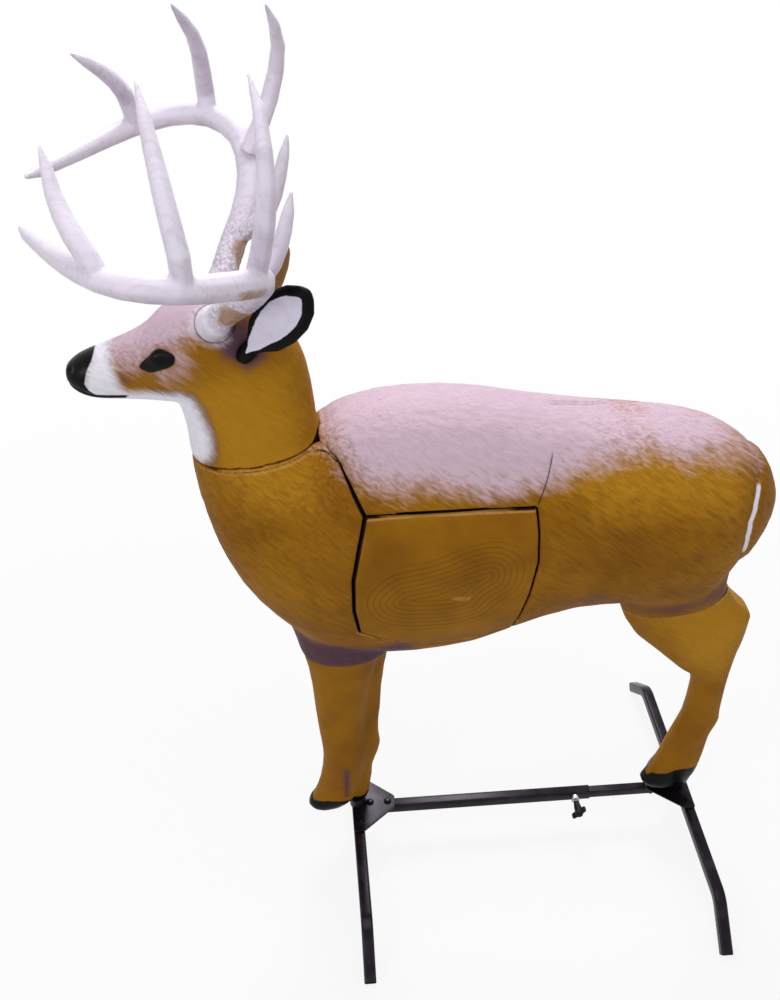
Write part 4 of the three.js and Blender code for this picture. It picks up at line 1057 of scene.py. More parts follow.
def seam_distance(side, *lines):
    """How far each point lies from the nearest seam of the side view; the shoulder seam is wider, its dark
    band widened into painted shadow of the gap.
    """
    near = [from_line(side, line) for line in lines]
    nearest = np.minimum.reduce([*near, from_line(side, NECK_SEAM) + 0.6])
    # Up to 1.9 mm more of painted shadow along the shoulder seam, less towards the belly and none above the
    # shoulder.
    wide = 1.9 * smoothstep(side[:, 1], 798, 740) * (0.55 + 0.45 * smoothstep(side[:, 1], 500, 640))
    return np.minimum(nearest - 0.2, from_line(side, SHOULDER_LINE) - wide)


class TARGET_OT_foam_skin(bpy.types.Operator):
    """Make the smooth outside of the whole target, which each moulding then follows"""

    bl_idname = "target.foam_skin"
    bl_label = "Foam skin"

    def execute(self, context):
        sizes = foam_sizes()
        cores = [copy_of(node, node + "_core") for node in SKIN_NODES]
        for core in cores:
            modify(core, "DISPLACE", strength=sizes.swell, mid_level=0)
        skin = joined("target_skin", cores)
        modify(skin, "REMESH", mode="VOXEL", voxel_size=sizes.skin_grain)
        side = views_of(skin)[0]
        nape = smoothstep(side[:, 1] - 0.35 * side[:, 0], 760, 850) * (side[:, 0] < 0)
        trunk = smoothstep(side[:, 1], 455, 560) * (1 - nape)
        neck = smoothstep(side[:, 1], 600, 700)
        limb = smoothstep(side[:, 1], 70, 120)
        smoothed(skin, 2)
        smoothed(skin, 7, "limb", limb)
        side = views_of(skin)[0]
        smoothed(skin, 6, "neck", neck * (side[:, 0] > -215))
        smoothed(skin, 36, "trunk", trunk)
        return {"FINISHED"}


def barrel_details(side, rear, top, outer):
    """Lifts of the barrel's tail, crease, slit and leaning front face, and its scored and brushed lines."""
    behind = side[:, 0] > 500
    tail = np.where(behind, inside(rear, TAIL), OUTSIDE)
    dip = bell(np.minimum(tail + 4, 0), 3) * (tail < 0) * (tail > -14)
    lifts = 4.0 * smoothstep(tail, -2, 9) - 1.2 * dip
    both = np.abs(rear[:, [0]]) * [1, 0] + rear * [0, 1]
    away, plain = scored(both, TAIL_EDGE)
    stripe = (away, plain * (side[:, 0] > 530))
    crease, creased = scored(side, REAR_CREASE)
    slit, slitted = scored(top, BACK_SLIT)
    slitted = slitted * (side[:, 1] > 700)
    # The slit is seen at a low angle, so it is scored twice as wide.
    score = (np.where(slitted > creased, 0.5 * slit, crease), np.maximum(slitted, creased))
    lifts -= 1.6 * bell(crease, 2.6) * creased * outer
    lifts -= 3.0 * bell(slit, 2.6) * slitted * outer
    # The front face leans towards the neck above the shoulder.
    lifts += 3.5 * smoothstep(side[:, 1], 801, 816) * smoothstep(side[:, 0], -34, -38)
    return lifts, {"score": score, "stripe": stripe}


class TARGET_OT_body(bpy.types.Operator):
    """Make the two body sections with their moulded coat of hair"""

    bl_idname = "target.body"
    bl_label = "Body sections"

    def execute(self, context):
        sizes = foam_sizes()
        for name, node in (
            ("chest_moulding", "front_body_section"),
            ("barrel_moulding", "rear_body_section"),
        ):
            piece, outer = foam_moulding(name, node, sizes.body_grain, 3)
            side, rear, top, _ = views_of(piece)
            edge = edge_distance(piece, outer)
            raise_hair(piece, smoothstep(edge, 4, 16) * smoothstep(side[:, 1], 470, 560))
            lifts = draw_in(edge, outer)
            if name == "barrel_moulding":
                raised, lines = barrel_details(side, rear, top, outer)
                lifts += raised
                # Painted shade over the rump where the leg joins, and under the belly.
                haze = np.maximum(0.5 * inside(side, RUMP_SHADE) - 4, 0.35 * inside(side, BELLY_SHADE) - 11)
            else:
                lines = {}
                # Painted shade at the foot of the chest.
                haze = 0.6 * inside(side, CHEST_SHADE) + 4
            press(piece, lifts)
            seam = seam_distance(side, INSERT_TOP, INSERT_REAR, BELLY_SEAM)
            lip = from_line(side, INSERT_LIP)
            soften_edge(piece, np.minimum(np.maximum(seam, 0), lip))
            # Painted highlight along the neck's seam and the insert's lip, three millimetres from them, where
            # the rounded edges catch the light.
            wear_and_highlight = np.minimum(from_line(side, NECK_SEAM), lip)
            paint_zones(
                piece,
                seam,
                outer,
                # Mauve on the back, partly a painted sheen of the sky.
                mauve=inside(side, BACK_SHEEN_ZONE),
                haze=haze,
                # Gold on the neck and rump, partly painted light falling from above.
                gold=np.maximum(inside(side, LIT_GOLD_NECK), inside(side, LIT_GOLD_RUMP)),
                rubbed=1.3 - np.abs(wear_and_highlight - 3.0),
                **lines,
            )
            done(piece, "buck", body_coat(), [node], smooth=None)
        return {"FINISHED"}


class TARGET_OT_insert(bpy.types.Operator):
    """Make the vitals insert with its pressed rings"""

    bl_idname = "target.insert"
    bl_label = "Vitals insert"

    def execute(self, context):
        sizes = foam_sizes()
        piece, outer = foam_moulding("vitals_block", "vitals_insert", sizes.insert_grain, 3)
        side = views_of(piece)[0]
        seam = edge_distance(piece, outer)
        lungs = inside(side, rounded(LUNG_RING))
        heart = inside(side, rounded(HEART_RING))
        rings = np.minimum(np.abs(lungs), np.abs(heart))
        mark = inside(side, AIM_MARK)
        lifts = draw_in(seam, outer)
        seam = seam_distance(side, INSERT_TOP, INSERT_REAR, INSERT_LIP)
        lifts -= 0.6 * bell(rings, 1.7) * outer
        lifts -= 0.7 * smoothstep(mark, -1.5, 1.5) * outer
        press(piece, lifts)
        soften_edge(piece, np.maximum(seam, 0))
        # The fine rings repeat inwards and one step outwards from the lungs' outline.
        score = (lungs, outer * smoothstep(lungs, -14, -11))
        # Painted highlight along the insert's top edge.
        insert_edge_highlight = 1.5 - np.abs(from_line(side, INSERT_TOP) - 3.2)
        worn_mark = np.minimum(0.8 * mark - 1.0, 0.4)
        paint_zones(piece, seam, outer, score=score, rubbed=np.maximum(insert_edge_highlight, worn_mark))
        done(piece, "insert", ringed_coat(), ["vitals_insert"], smooth=None)
        return {"FINISHED"}


class TARGET_OT_legs(bpy.types.Operator):
    """Make the two leg mouldings with their hooves"""

    bl_idname = "target.legs"
    bl_label = "Leg mouldings"

    def execute(self, context):
        sizes = foam_sizes()
        for name, node, hoof in (
            ("front_leg_moulding", "front_leg", FRONT_HOOF),
            ("rear_leg_moulding", "rear_leg", REAR_HOOF),
        ):
            piece, outer = foam_moulding(name, node, sizes.limb_grain, 3)
            side = views_of(piece)[0]
            seam = edge_distance(piece, outer)
            black = inside(side, hoof)
            lifts = 0.8 * draw_in(seam, outer)
            lifts -= 1.0 * bell(black + 1, 1.8) * outer
            top = np.minimum(from_line(side, FRONT_LEG_SEAM), from_line(side, REAR_LEG_SEAM))
            haze = rubbed = np.full(len(side), OUTSIDE)
            if node == "front_leg":
                cleft = from_line(side, CLEFT)
                lifts -= 1.6 * bell(cleft, 3.0) * outer
                # Painted shade in the cleft between the two legs.
                haze = 3.5 - 1.6 * cleft
            else:
                # Painted highlight along the rear leg's top edge, three millimetres below its seam.
                rubbed = 1.3 - np.abs(top - 3.0)
            press(piece, lifts)
            soften_edge(piece, top)
            paint_zones(
                piece,
                top - 0.2,
                outer,
                black=black,
                haze=haze,
                gold=inside(side, LIT_GOLD_THIGH) - 10,
                rubbed=rubbed,
            )
            done(piece, "buck", smooth_coat(), [node], smooth=None)
        return {"FINISHED"}


def head_relief(eye, mouth, root, rows, outer):
    """Lifts of the head's eyelids, mouth, nostrils and antler roots, in millimetres."""
    # A lid round each eye, a fold inside it and the ball.
    lifts = 1.5 * bell(eye + 3.4, 2.2)
    lifts += 1.6 * smoothstep(eye, 0, 7) - 1.3 * bell(eye, 1.3)
    lifts -= 1.8 * bell(mouth, 1.9) * outer
    nostril = np.linalg.norm(np.abs(rows) - [352, 13, 917], axis=1)
    lifts -= 3.6 * bell(nostril, 5.0)
    lifts += 2.2 * smoothstep(root, 0.5, -5) - 1.2 * bell(root, 2)
    return lifts


class TARGET_OT_head(bpy.types.Operator):
    """Make the head and neck with its eyes, nostrils and mouth"""

    bl_idname = "target.head"
    bl_label = "Head and neck"

    def execute(self, context):
        sizes = foam_sizes()
        piece, outer = foam_moulding("head_moulding", "head_and_neck", sizes.limb_grain, 3)
        side, _, _, rows = views_of(piece)
        seam = edge_distance(piece, outer)
        throat_hair = smoothstep(side[:, 0], -250, -200) * smoothstep(side[:, 1], 950, 900)
        raise_hair(piece, 0.4 * smoothstep(seam, 4, 16) * throat_hair)
        flank = np.abs(rows[:, 1]) > 22
        eye = np.where(flank, inside(side, rounded(EYE)), OUTSIDE)
        mouth = from_line(side, MOUTH)
        # Each antler stands in a socket 25 mm in radius.
        root = np.linalg.norm(np.abs(rows) - [163, 42, 992], axis=1) - 25
        lifts = 0.8 * draw_in(seam, outer & (side[:, 1] < 830))
        press(piece, lifts + head_relief(eye, mouth, root, rows, outer))
        seam = from_line(side, NECK_SEAM)
        soften_edge(piece, seam)
        throat = inside(side, THROAT_ZONE)
        black = np.maximum.reduce([inside(side, NOSE), eye, 1.2 - mouth])
        # White round the muzzle, down the throat and round each antler's socket.
        socket = np.minimum(8 - 0.8 * np.abs(root + 10), -150 - rows[:, 0])
        white = np.maximum.reduce([inside(side, MUZZLE_ZONE), throat + 4, socket])
        # Painted shade on the cheek, by the ear and along the edge of the throat's white.
        haze = [inside(side, CHEEK_SHADE) - 12, inside(side, EAR_SHADE), 4 - np.abs(throat + 6)]
        # Mauve over the forehead, and a patch behind the eye.
        patch = np.where(flank, inside(side, EYE_RING) - 3, OUTSIDE)
        paint_zones(
            piece,
            seam - 0.2,
            outer,
            black=black,
            white=white,
            haze=np.maximum.reduce(haze),
            mauve=np.maximum(inside(side, FOREHEAD_ZONE), patch),
            gold=inside(side, LIT_GOLD_NECK),
            score=(root, 0.55 * smoothstep(np.abs(root), 4, 3)),
        )
        done(piece, "head", smooth_coat(), ["head_and_neck"], smooth=None)
        return {"FINISHED"}


def leaf_rim(rows, long, wide):
    """How far each point of an ear lies inside its painted rim, in millimetres."""
    flat = (rows - rows.mean(axis=0)) @ np.stack([long, wide], axis=1) / MM
    turns = np.linspace(0, 2 * math.pi, 48, endpoint=False)
    ways = np.stack([np.cos(turns), np.sin(turns)], axis=1)
    reach = (flat @ ways.T).max(axis=0)
    rim = (reach[None, :] - flat @ ways.T).min(axis=1)
    # The rim is painted wider behind and at the root.
    spread = flat / np.abs(flat).max(axis=0) * np.where([long[2] > 0, wide[0] > 0], 1, -1)
    return rim - (3.4 * spread[:, 1] + 8 * smoothstep(-spread[:, 0], 0.55, 0.95))


class TARGET_OT_ears(bpy.types.Operator):
    """Make the two soft ears with their black rims"""

    bl_idname = "target.ears"
    bl_label = "Ears"

    def execute(self, context):
        sizes = foam_sizes()
        for side_name in ("left", "right"):
            piece = copy_of(side_name + "_ear", side_name + "_ear_leaf")
            modify(piece, "REMESH", mode="VOXEL", voxel_size=0.75 * sizes.fine_grain)
            smoothed(piece, 28)
            modify(piece, "DISPLACE", strength=0.5 * MM, mid_level=0)
            rows = points_of(piece)
            # The ear's own axes: through its leaf, across it and along it.
            _, axes = np.linalg.eigh(np.cov((rows - rows.mean(axis=0)).T))
            through, wide, long = axes.T
            backward = through * (1 if through[0] > 0 else -1)
            field(piece, "rim", leaf_rim(rows, long, wide))
            field(piece, "back", normals_of(piece) @ backward)
            rubber = finish("painted_ear_rubber", ear_rubber)
            done(piece, "head", rubber, [side_name + "_ear"], smooth=None)
        return {"FINISHED"}


class TARGET_OT_antlers(bpy.types.Operator):
    """Make the two antlers with pearled bases"""

    bl_idname = "target.antlers"
    bl_label = "Antlers"

    def execute(self, context):
        sizes = foam_sizes()
        for side_name in ("left", "right"):
            piece = copy_of(side_name + "_antler", side_name + "_antler_casting")
            modify(piece, "REMESH", mode="VOXEL", voxel_size=sizes.fine_grain)
            smoothed(piece, 14)
            modify(piece, "DISPLACE", strength=0.5 * MM, mid_level=0)
            rows = views_of(piece)[3]
            normals = normals_of(piece)
            way = -1 if side_name == "left" else 1
            root = np.array([-165, 42 * way, 990])
            far = np.linalg.norm(rows - root, axis=1)
            pearls = smoothstep(far, 150, 70) * smoothstep(far, 18, 34)
            cells = np.array([noise.voronoi(Vector(p) / 4.2)[0][0] for p in rows])
            press(piece, pearls * (0.8 - 1.6 * np.clip(cells, 0, 0.6)))
            field(piece, "pearls", pearls)
            # Painted shade on the downward-facing sides.
            field(piece, "underside_shade", smoothstep(-normals[:, 2], -0.3, 0.9) * 0.45)
            # Spray from the ears lies on the bend of the beam and behind the root.
            spot = np.array([-112, 196 * way, 1100])
            dusted = smoothstep(np.linalg.norm(rows - spot, axis=1), 62, 14)
            socket = root + np.array([32, 46 * way, 24])
            behind = smoothstep(np.linalg.norm(rows - socket, axis=1), 38, 20)
            field(piece, "overspray", np.maximum(dusted * smoothstep(normals[:, 2], 0.5, -0.2), behind))
            resin = finish("antler_urethane", antler_resin)
            done(piece, "antler_" + side_name, resin, [side_name + "_antler"], smooth=None)
        return {"FINISHED"}


# Stand

# Pieces of hardware are kept this far apart, so that no two faces share a plane.
GAP = 0.3 * MM


def square_ring(name, size, corner):
    """The outline of a square tube with rounded corners, in the XY plane."""
    pick()
    bpy.ops.mesh.primitive_plane_add(size=size)
    piece = added(name)
    edit(piece)
    bpy.ops.mesh.bevel(offset=corner, segments=5, affect="VERTICES")
    bpy.ops.mesh.delete(type="ONLY_FACE")
    bpy.ops.object.mode_set(mode="OBJECT")
    return piece


def bevel_rim(piece, width, segments):
    """Rounds a piece's sharp edges over."""
    modify(
        piece,
        "BEVEL",
        width=width,
        segments=segments,
        limit_method="ANGLE",
        angle_limit=math.radians(60),
    )


def drill(piece, name, radius, low, high, sides, **settings):
    """Cuts a round hole up the Z axis."""
    hole = turned(name, [(radius, low), (radius, high)], sides)
    modify(piece, "BOOLEAN", operation="DIFFERENCE", object=hole, solver="EXACT", **settings)
    bpy.data.objects.remove(hole)


def hollow(piece, wall):
    """Turns an open tube's faces outwards and gives it a wall inside them."""
    tidy(piece)
    if max(piece.data.polygons, key=lambda face: face.center.z).normal.z < 0:
        edit(piece)
        bpy.ops.mesh.flip_normals()
        bpy.ops.object.mode_set(mode="OBJECT")
    modify(piece, "SOLIDIFY", thickness=wall, offset=-1)


def turned(name, rows, sides=32):
    """A turned piece: a disc extruded and scaled ring by ring up the Z axis; rows of radius, level."""
    pick()
    radius, level = rows[0]
    bpy.ops.mesh.primitive_circle_add(vertices=sides, radius=radius, fill_type="NGON", location=(0, 0, level))
    piece = added(name)
    edit(piece, "FACE")
    for (before, low), (after, high) in zip(rows, rows[1:]):
        bpy.ops.mesh.extrude_region_move(TRANSFORM_OT_translate={"value": (0, 0, high - low)})
        share = after / before
        bpy.ops.transform.resize(value=(share, share, 1), center_override=(0, 0, high))
    bpy.ops.object.mode_set(mode="OBJECT")
    return tidy(piece)


def thread(radius, low, high, pitch):
    """Rows of a thread between two levels, its grooves two thirds of a pitch deep."""
    count = max(int(round((high - low) / pitch)), 1)
    step = (high - low) / count
    rows = []
    for i in range(count):
        start = low + i * step
        rows += [(radius - 0.6 * pitch, start), (radius, start + 0.4 * step), (radius, start + 0.6 * step)]
    return [*rows, (radius - 0.6 * pitch, high)]


def crossbar(name, node, x, body):
    """A crossbar whose two ends bend down to the ground."""
    sizes = stand_sizes()
    reach = sizes.bend * math.tan(sizes.foot_angle / 2)
    piece = square_ring(name, sizes.tube, sizes.corner)
    moved(piece, turn=(math.pi / 2, 0, 0), to=(x, 0, BAR))
    edit(piece, "EDGE")
    straight = sizes.arm - reach
    bpy.ops.mesh.extrude_edges_move(TRANSFORM_OT_translate={"value": (0, straight, 0)})
    bpy.ops.mesh.spin(
        steps=14,
        angle=sizes.foot_angle,
        center=(x, straight, BAR - sizes.bend),
        axis=(1, 0, 0),
    )
    foot = sizes.foot - reach
    way = (0, foot * math.cos(sizes.foot_angle), -foot * math.sin(sizes.foot_angle))
    bpy.ops.mesh.extrude_edges_move(TRANSFORM_OT_translate={"value": way})
    bpy.ops.object.mode_set(mode="OBJECT")
    modify(piece, "MIRROR", use_axis=(False, True, False), merge_threshold=0.01 * MM)
    hollow(piece, sizes.wall)
    return done(piece, body, steel_coat(), [node])


class TARGET_OT_crossbars(bpy.types.Operator):
    """Make the two bent crossbars"""

    bl_idname = "target.crossbars"
    bl_label = "Crossbars"

    def execute(self, context):
        crossbar("front_bent_tube", "front_crossbar", POST, "front_stand")
        crossbar("rear_bent_tube", "rear_crossbar", REAR_BAR, "rear_stand")
        return {"FINISHED"}


class TARGET_OT_long_bar(bpy.types.Operator):
    """Make the telescoping long bar"""

    bl_idname = "target.long_bar"
    bl_label = "Long bar"

    def execute(self, context):
        sizes = stand_sizes()
        for name, node, body, corner, wall in (
            ("outer_square_tube", "outer_bar_tube", "front_stand", sizes.corner, sizes.wall),
            ("inner_square_tube", "inner_bar_tube", "rear_stand", 2 * MM, 1.2 * MM),
        ):
            low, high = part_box(node)
            piece = square_ring(name, high.y - low.y, corner)
            moved(piece, turn=(0, math.pi / 2, 0), to=(low.x, 0, BAR))
            edit(piece, "EDGE")
            bpy.ops.mesh.extrude_edges_move(TRANSFORM_OT_translate={"value": (high.x - low.x, 0, 0)})
            bpy.ops.object.mode_set(mode="OBJECT")
            hollow(piece, wall)
            bevel_rim(piece, 0.25 * MM, 2)
            done(piece, body, steel_coat(), [node])
        return {"FINISHED"}


class TARGET_OT_plates(bpy.types.Operator):
    """Make the two gusset plates"""

    bl_idname = "target.plates"
    bl_label = "Gusset plates"

    def execute(self, context):
        for name, node, body, way in (
            ("front_corner_plate", "front_gusset_plate", "front_stand", 1),
            ("rear_corner_plate", "rear_gusset_plate", "rear_stand", -1),
        ):
            low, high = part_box(node)
            root = low.x if way > 0 else high.x
            # The plate is straight for nearly the crossbar's width, then narrows to its tip.
            shoulder = root + way * 18.5 * MM
            pick()
            bpy.ops.mesh.primitive_cube_add(
                size=1,
                location=((root + shoulder) / 2, 0, (low.z + high.z) / 2),
                scale=(abs(shoulder - root), high.y - low.y, high.z - low.z),
            )
            piece = added(name)
            choose(piece, lambda place, normal: normal.x * way > 0.9)
            tip = (high.x if way > 0 else low.x) - shoulder
            bpy.ops.mesh.extrude_region_move(TRANSFORM_OT_translate={"value": (tip, 0, 0)})
            tip_share = 23 / 120
            bpy.ops.transform.resize(value=(1, tip_share, 1), center_override=(shoulder + tip, 0, low.z))
            choose(piece, lambda place, line: abs(line.z) > 0.9, "EDGE")
            bpy.ops.mesh.bevel(offset=4 * MM, segments=5, affect="EDGES")
            bpy.ops.object.mode_set(mode="OBJECT")
            bevel_rim(piece, stand_sizes().plate_edge, 3)
            done(piece, body, steel_coat(), [node])
        return {"FINISHED"}


def hexagon(name, width, low, high, chamfer):
    """A hexagonal block with its top corners turned off."""
    pick()
    bpy.ops.mesh.primitive_cylinder_add(
        vertices=6,
        radius=width / 2 / math.cos(math.pi / 6),
        depth=high - low,
        location=(0, 0, (low + high) / 2),
    )
    piece = added(name)
    choose(piece, lambda place, line: min(abs(place.z - high), abs(place.z - low)) < 1e-6, "EDGE")
    bpy.ops.mesh.bevel(offset=chamfer, segments=2, affect="EDGES")
    bpy.ops.object.mode_set(mode="OBJECT")
    return piece


def place_fastener(master, name, node, body, material):
    """A copy of a fastener in the middle of the CAD node that it stands for."""
    centre = middle(node)
    piece = twin(master, name, to=(centre.x, centre.y, 0))
    return done(piece, body, material, [node], smooth=35)


def bolt_master(name, like):
    """A hexagon bolt at the origin, at the levels of a CAD bolt."""
    sizes = stand_sizes()
    low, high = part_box(like)
    seat = PLATE_TOP + GAP
    head = hexagon(name + "_head", 9.6 * MM, seat + 0.9 * MM, high.z, 0.5 * MM)
    rim = 6.9 * MM
    rows = [
        (rim - 0.3 * MM, seat),
        (rim, seat + 0.25 * MM),
        (rim, seat + 0.75 * MM),
        (rim - 0.4 * MM, seat + MM),
    ]
    washer = turned(name + "_washer", rows, 36)
    radius = sizes.bolt / 2
    rows = [
        (radius - 0.7 * MM, low.z),
        *thread(radius, low.z + 0.4 * MM, low.z + 9 * MM, MM),
        (radius, seat + 1.5 * MM),
    ]
    shank = turned(name + "_shank", rows, 24)
    return joined(name, [washer, shank, head])


def nut_master(name, like, bore):
    """A lock nut at the origin, at the levels of a CAD nut: a hexagon with a domed collar."""
    low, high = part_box(like)
    width = min(high.x - low.x, high.y - low.y)
    block = hexagon(name + "_hexagon", width, low.z + 1.3 * MM, high.z, 0.4 * MM)
    radius = width / 2 - 0.8 * MM
    rows = [
        (radius - 1.2 * MM, low.z),
        (radius - 0.4 * MM, low.z + 0.5 * MM),
        (radius, low.z + 2 * MM),
    ]
    collar = turned(name + "_collar", rows, 32)
    nut = joined(name, [collar, block])
    drill(nut, name + "_hole", bore / 2, low.z - MM, high.z + MM, 24, use_self=True)
    return nut


class TARGET_OT_fasteners(bpy.types.Operator):
    """Make the plate bolts and their lock nuts, each modelled once and copied"""

    bl_idname = "target.fasteners"
    bl_label = "Bolts and nuts"

    def execute(self, context):
        sizes = stand_sizes()
        coat = steel_coat()
        outer_bolt = bolt_master("bolt_master", "front_arm_bolt_1")
        inner_bolt = bolt_master("inner_bolt_master", "rear_bar_bolt")
        outer_nut = nut_master("nut_master", "front_arm_nut_1", sizes.bolt + GAP)
        inner_nut = nut_master("inner_nut_master", "rear_bar_nut", sizes.bolt + GAP)
        for node in sorted(frame["nodes"]):
            body = "rear_stand" if node.startswith("rear") else "front_stand"
            inner = node.startswith("rear_bar")
            if "_bolt" in node:
                master = inner_bolt if inner else outer_bolt
            elif "_nut" in node and "post" not in node:
                master = inner_nut if inner else outer_nut
            else:
                continue
            place_fastener(master, node + "_hex", node, body, coat)
        for master in (outer_bolt, inner_bolt, outer_nut, inner_nut):
            bpy.data.objects.remove(master)
        return {"FINISHED"}


def turned_post(name, node, collar_top):
    """A leg post: a threaded stud below, a collar on the plate and a plain rod in the leg."""
    sizes = stand_sizes()
    low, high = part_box(node)
    seat = PLATE_TOP + GAP
    stud, post, collar = sizes.stud / 2, sizes.post / 2, sizes.collar / 2
    rows = [
        (stud - 0.9 * MM, low.z),
        *thread(stud, low.z + 0.5 * MM, low.z + 12 * MM, 1.25 * MM),
        (stud, low.z + 12.5 * MM),
        (stud, seat),
        (collar - 0.8 * MM, seat + 0.01 * MM),
        (collar, seat + 0.8 * MM),
        (collar, collar_top - 0.8 * MM),
        (collar - 0.8 * MM, collar_top),
        (post + 0.8 * MM, collar_top + 0.01 * MM),
        (post, collar_top + 0.9 * MM),
        (post, high.z - 2 * MM),
        (post - 0.6 * MM, high.z - 0.7 * MM),
        (post - 2 * MM, high.z),
    ]
    return moved(turned(name, rows, 48), to=(middle(node).x, 0, 0))


class TARGET_OT_posts(bpy.types.Operator):
    """Make the two leg posts, their collars and nuts"""

    bl_idname = "target.posts"
    bl_label = "Leg posts"

    def execute(self, context):
        for end in ("front", "rear"):
            node = end + "_leg_post"
            piece = turned_post(end + "_turned_post", node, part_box(end + "_leg")[0].z - GAP)
            done(piece, end + "_stand", steel_coat(), [node], smooth=35)
            nut = end + "_post_nut"
            master = nut_master(end + "_stud_nut", nut, stand_sizes().stud + GAP)
            place_fastener(master, nut + "_hex", nut, end + "_stand", zinc_coat())
            bpy.data.objects.remove(master)
        return {"FINISHED"}


def end_plug(name):
    """A plug with a domed cap over the tube's end and a stem down inside it, built up the Z axis."""
    sizes = stand_sizes()
    cap = square_ring(name + "_cap", sizes.tube, sizes.corner)
    edit(cap, "EDGE")
    bpy.ops.mesh.edge_face_add()
    # The cap's face is domed in steps of height and share of the width.
    for step, share in ((1.6, 1), (0.6, 0.96), (0.3, 0.88)):
        bpy.ops.mesh.extrude_region_move(TRANSFORM_OT_translate={"value": (0, 0, step * MM)})
        bpy.ops.transform.resize(value=(share, share, 1), center_override=(0, 0, 0))
    bpy.ops.object.mode_set(mode="OBJECT")
    bore = sizes.tube - 2 * sizes.wall
    stem = square_ring(name + "_stem", bore - 2 * GAP, sizes.corner - sizes.wall)
    edit(stem, "EDGE")
    bpy.ops.mesh.edge_face_add()
    bpy.ops.mesh.extrude_region_move(TRANSFORM_OT_translate={"value": (0, 0, -14 * MM)})
    bpy.ops.object.mode_set(mode="OBJECT")
    moved(stem, to=(0, 0, 0.4 * MM))
    return tidy(joined(name + "_moulding", [stem, cap]))


class TARGET_OT_plugs(bpy.types.Operator):
    """Make the four end plugs of the feet"""

    bl_idname = "target.plugs"
    bl_label = "End plugs"

    def execute(self, context):
        sizes = stand_sizes()
        angle = sizes.foot_angle
        reach = sizes.bend * math.tan(angle / 2)
        foot = sizes.foot - reach
        # The tube's end, and the cap just in front of it.
        end_y = sizes.arm - reach + sizes.bend * math.sin(angle) + (foot + GAP) * math.cos(angle)
        end_z = -sizes.bend * (1 - math.cos(angle)) - (foot + GAP) * math.sin(angle)
        for end, x in (("front", POST), ("rear", REAR_BAR)):
            for side_name, way in (("left", -1), ("right", 1)):
                node = f"{end}_{side_name}_plug"
                piece = moved(end_plug(node), turn=(-way * (math.pi / 2 + angle), 0, 0))
                moved(piece, to=(x, way * end_y, BAR + end_z))
                done(piece, end + "_stand", black_nylon(), [node], smooth=35)
        return {"FINISHED"}


def lay_in(piece, node):
    """Lays a piece built up the Z axis down on the bar's axis, so that its Z points out to the left."""
    return moved(piece, turn=(math.pi / 2, 0, 0), to=(middle("lock_boss").x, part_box(node)[1].y, BAR))


def depth_of(node):
    """How far a CAD node reaches along the Y axis."""
    low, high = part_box(node)
    return high.y - low.y


def threaded_boss():
    """The boss on the outer tube, with the hole of its screw."""
    low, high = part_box("lock_boss")
    radius = (high.x - low.x) / 2
    depth = depth_of("lock_boss")
    rows = [
        (radius - 0.5 * MM, 0),
        (radius, 0.5 * MM),
        (radius, depth - 0.8 * MM),
        (radius - 0.8 * MM, depth),
    ]
    boss = turned("threaded_boss", rows, 40)
    drill(boss, "boss_hole", stand_sizes().stud / 2 + 0.4 * MM, -MM, depth + MM, 28)
    lay_in(boss, "lock_boss")
    done(boss, "front_stand", zinc_coat(), ["lock_boss"], smooth=35)


def threaded_screw():
    """The lock's screw, threaded from its tip to where the knob holds it."""
    stud = stand_sizes().stud / 2
    rows = [
        (stud - 1.4 * MM, 0),
        *thread(stud, 0.8 * MM, 24 * MM, 1.25 * MM),
        (stud - 0.75 * MM, depth_of("lock_screw")),
    ]
    screw = turned("threaded_screw", rows, 28)
    lay_in(screw, "lock_screw")
    done(screw, "bar_lock", zinc_coat(), ["lock_screw"], smooth=35)


def knob_wing(way, span):
    """One wing of the knob: 14 mm long, 7 mm thick and 12.5 mm deep, and thinner at its tip."""
    pick()
    bpy.ops.mesh.primitive_cube_add(
        size=1,
        location=(way * 8 * MM, 0, span - 7 * MM),
        scale=(14 * MM, 7 * MM, 12.5 * MM),
    )
    wing = added("knob_wing")
    choose(wing, lambda place, normal: normal.x * way > 0.9)
    tip = (way * 15 * MM, 0, span - 6.5 * MM)
    bpy.ops.transform.resize(value=(1, 0.75, 0.85), center_override=tip)
    bpy.ops.object.mode_set(mode="OBJECT")
    return modify(wing, "BEVEL", width=2.6 * MM, segments=5, limit_method="NONE")


def wing_knob():
    """The moulded wing knob, its hub and wings melted into one."""
    span = depth_of("lock_knob")
    stud = stand_sizes().stud / 2
    rows = [
        (stud + 0.5 * MM, 0),
        (stud + 1.0 * MM, 0.5 * MM),
        (5.3 * MM, 5 * MM),
        (6.5 * MM, 11 * MM),
        (6.5 * MM, span - 2.5 * MM),
        (5.6 * MM, span - 0.8 * MM),
        (3.6 * MM, span - 0.1 * MM),
        (0.8 * MM, span),
    ]
    knob = turned("knob_hub", rows, 40)
    for wing in [knob_wing(way, span) for way in (-1, 1)]:
        modify(knob, "BOOLEAN", operation="UNION", object=wing, solver="EXACT")
        bpy.data.objects.remove(wing)
    modify(knob, "REMESH", mode="VOXEL", voxel_size=0.45 * MM)
    smoothed(knob, 5)
    moved(knob, turn=(0, 0, math.radians(45)))
    lay_in(knob, "lock_knob")
    knob.name = "wing_knob"
    done(knob, "bar_lock", black_nylon(), ["lock_knob"], smooth=None)


class TARGET_OT_lock(bpy.types.Operator):
    """Make the bar lock: boss, screw and wing knob"""

    bl_idname = "target.lock"
    bl_label = "Bar lock"

    def execute(self, context):
        threaded_boss()
        threaded_screw()
        wing_knob()
        return {"FINISHED"}


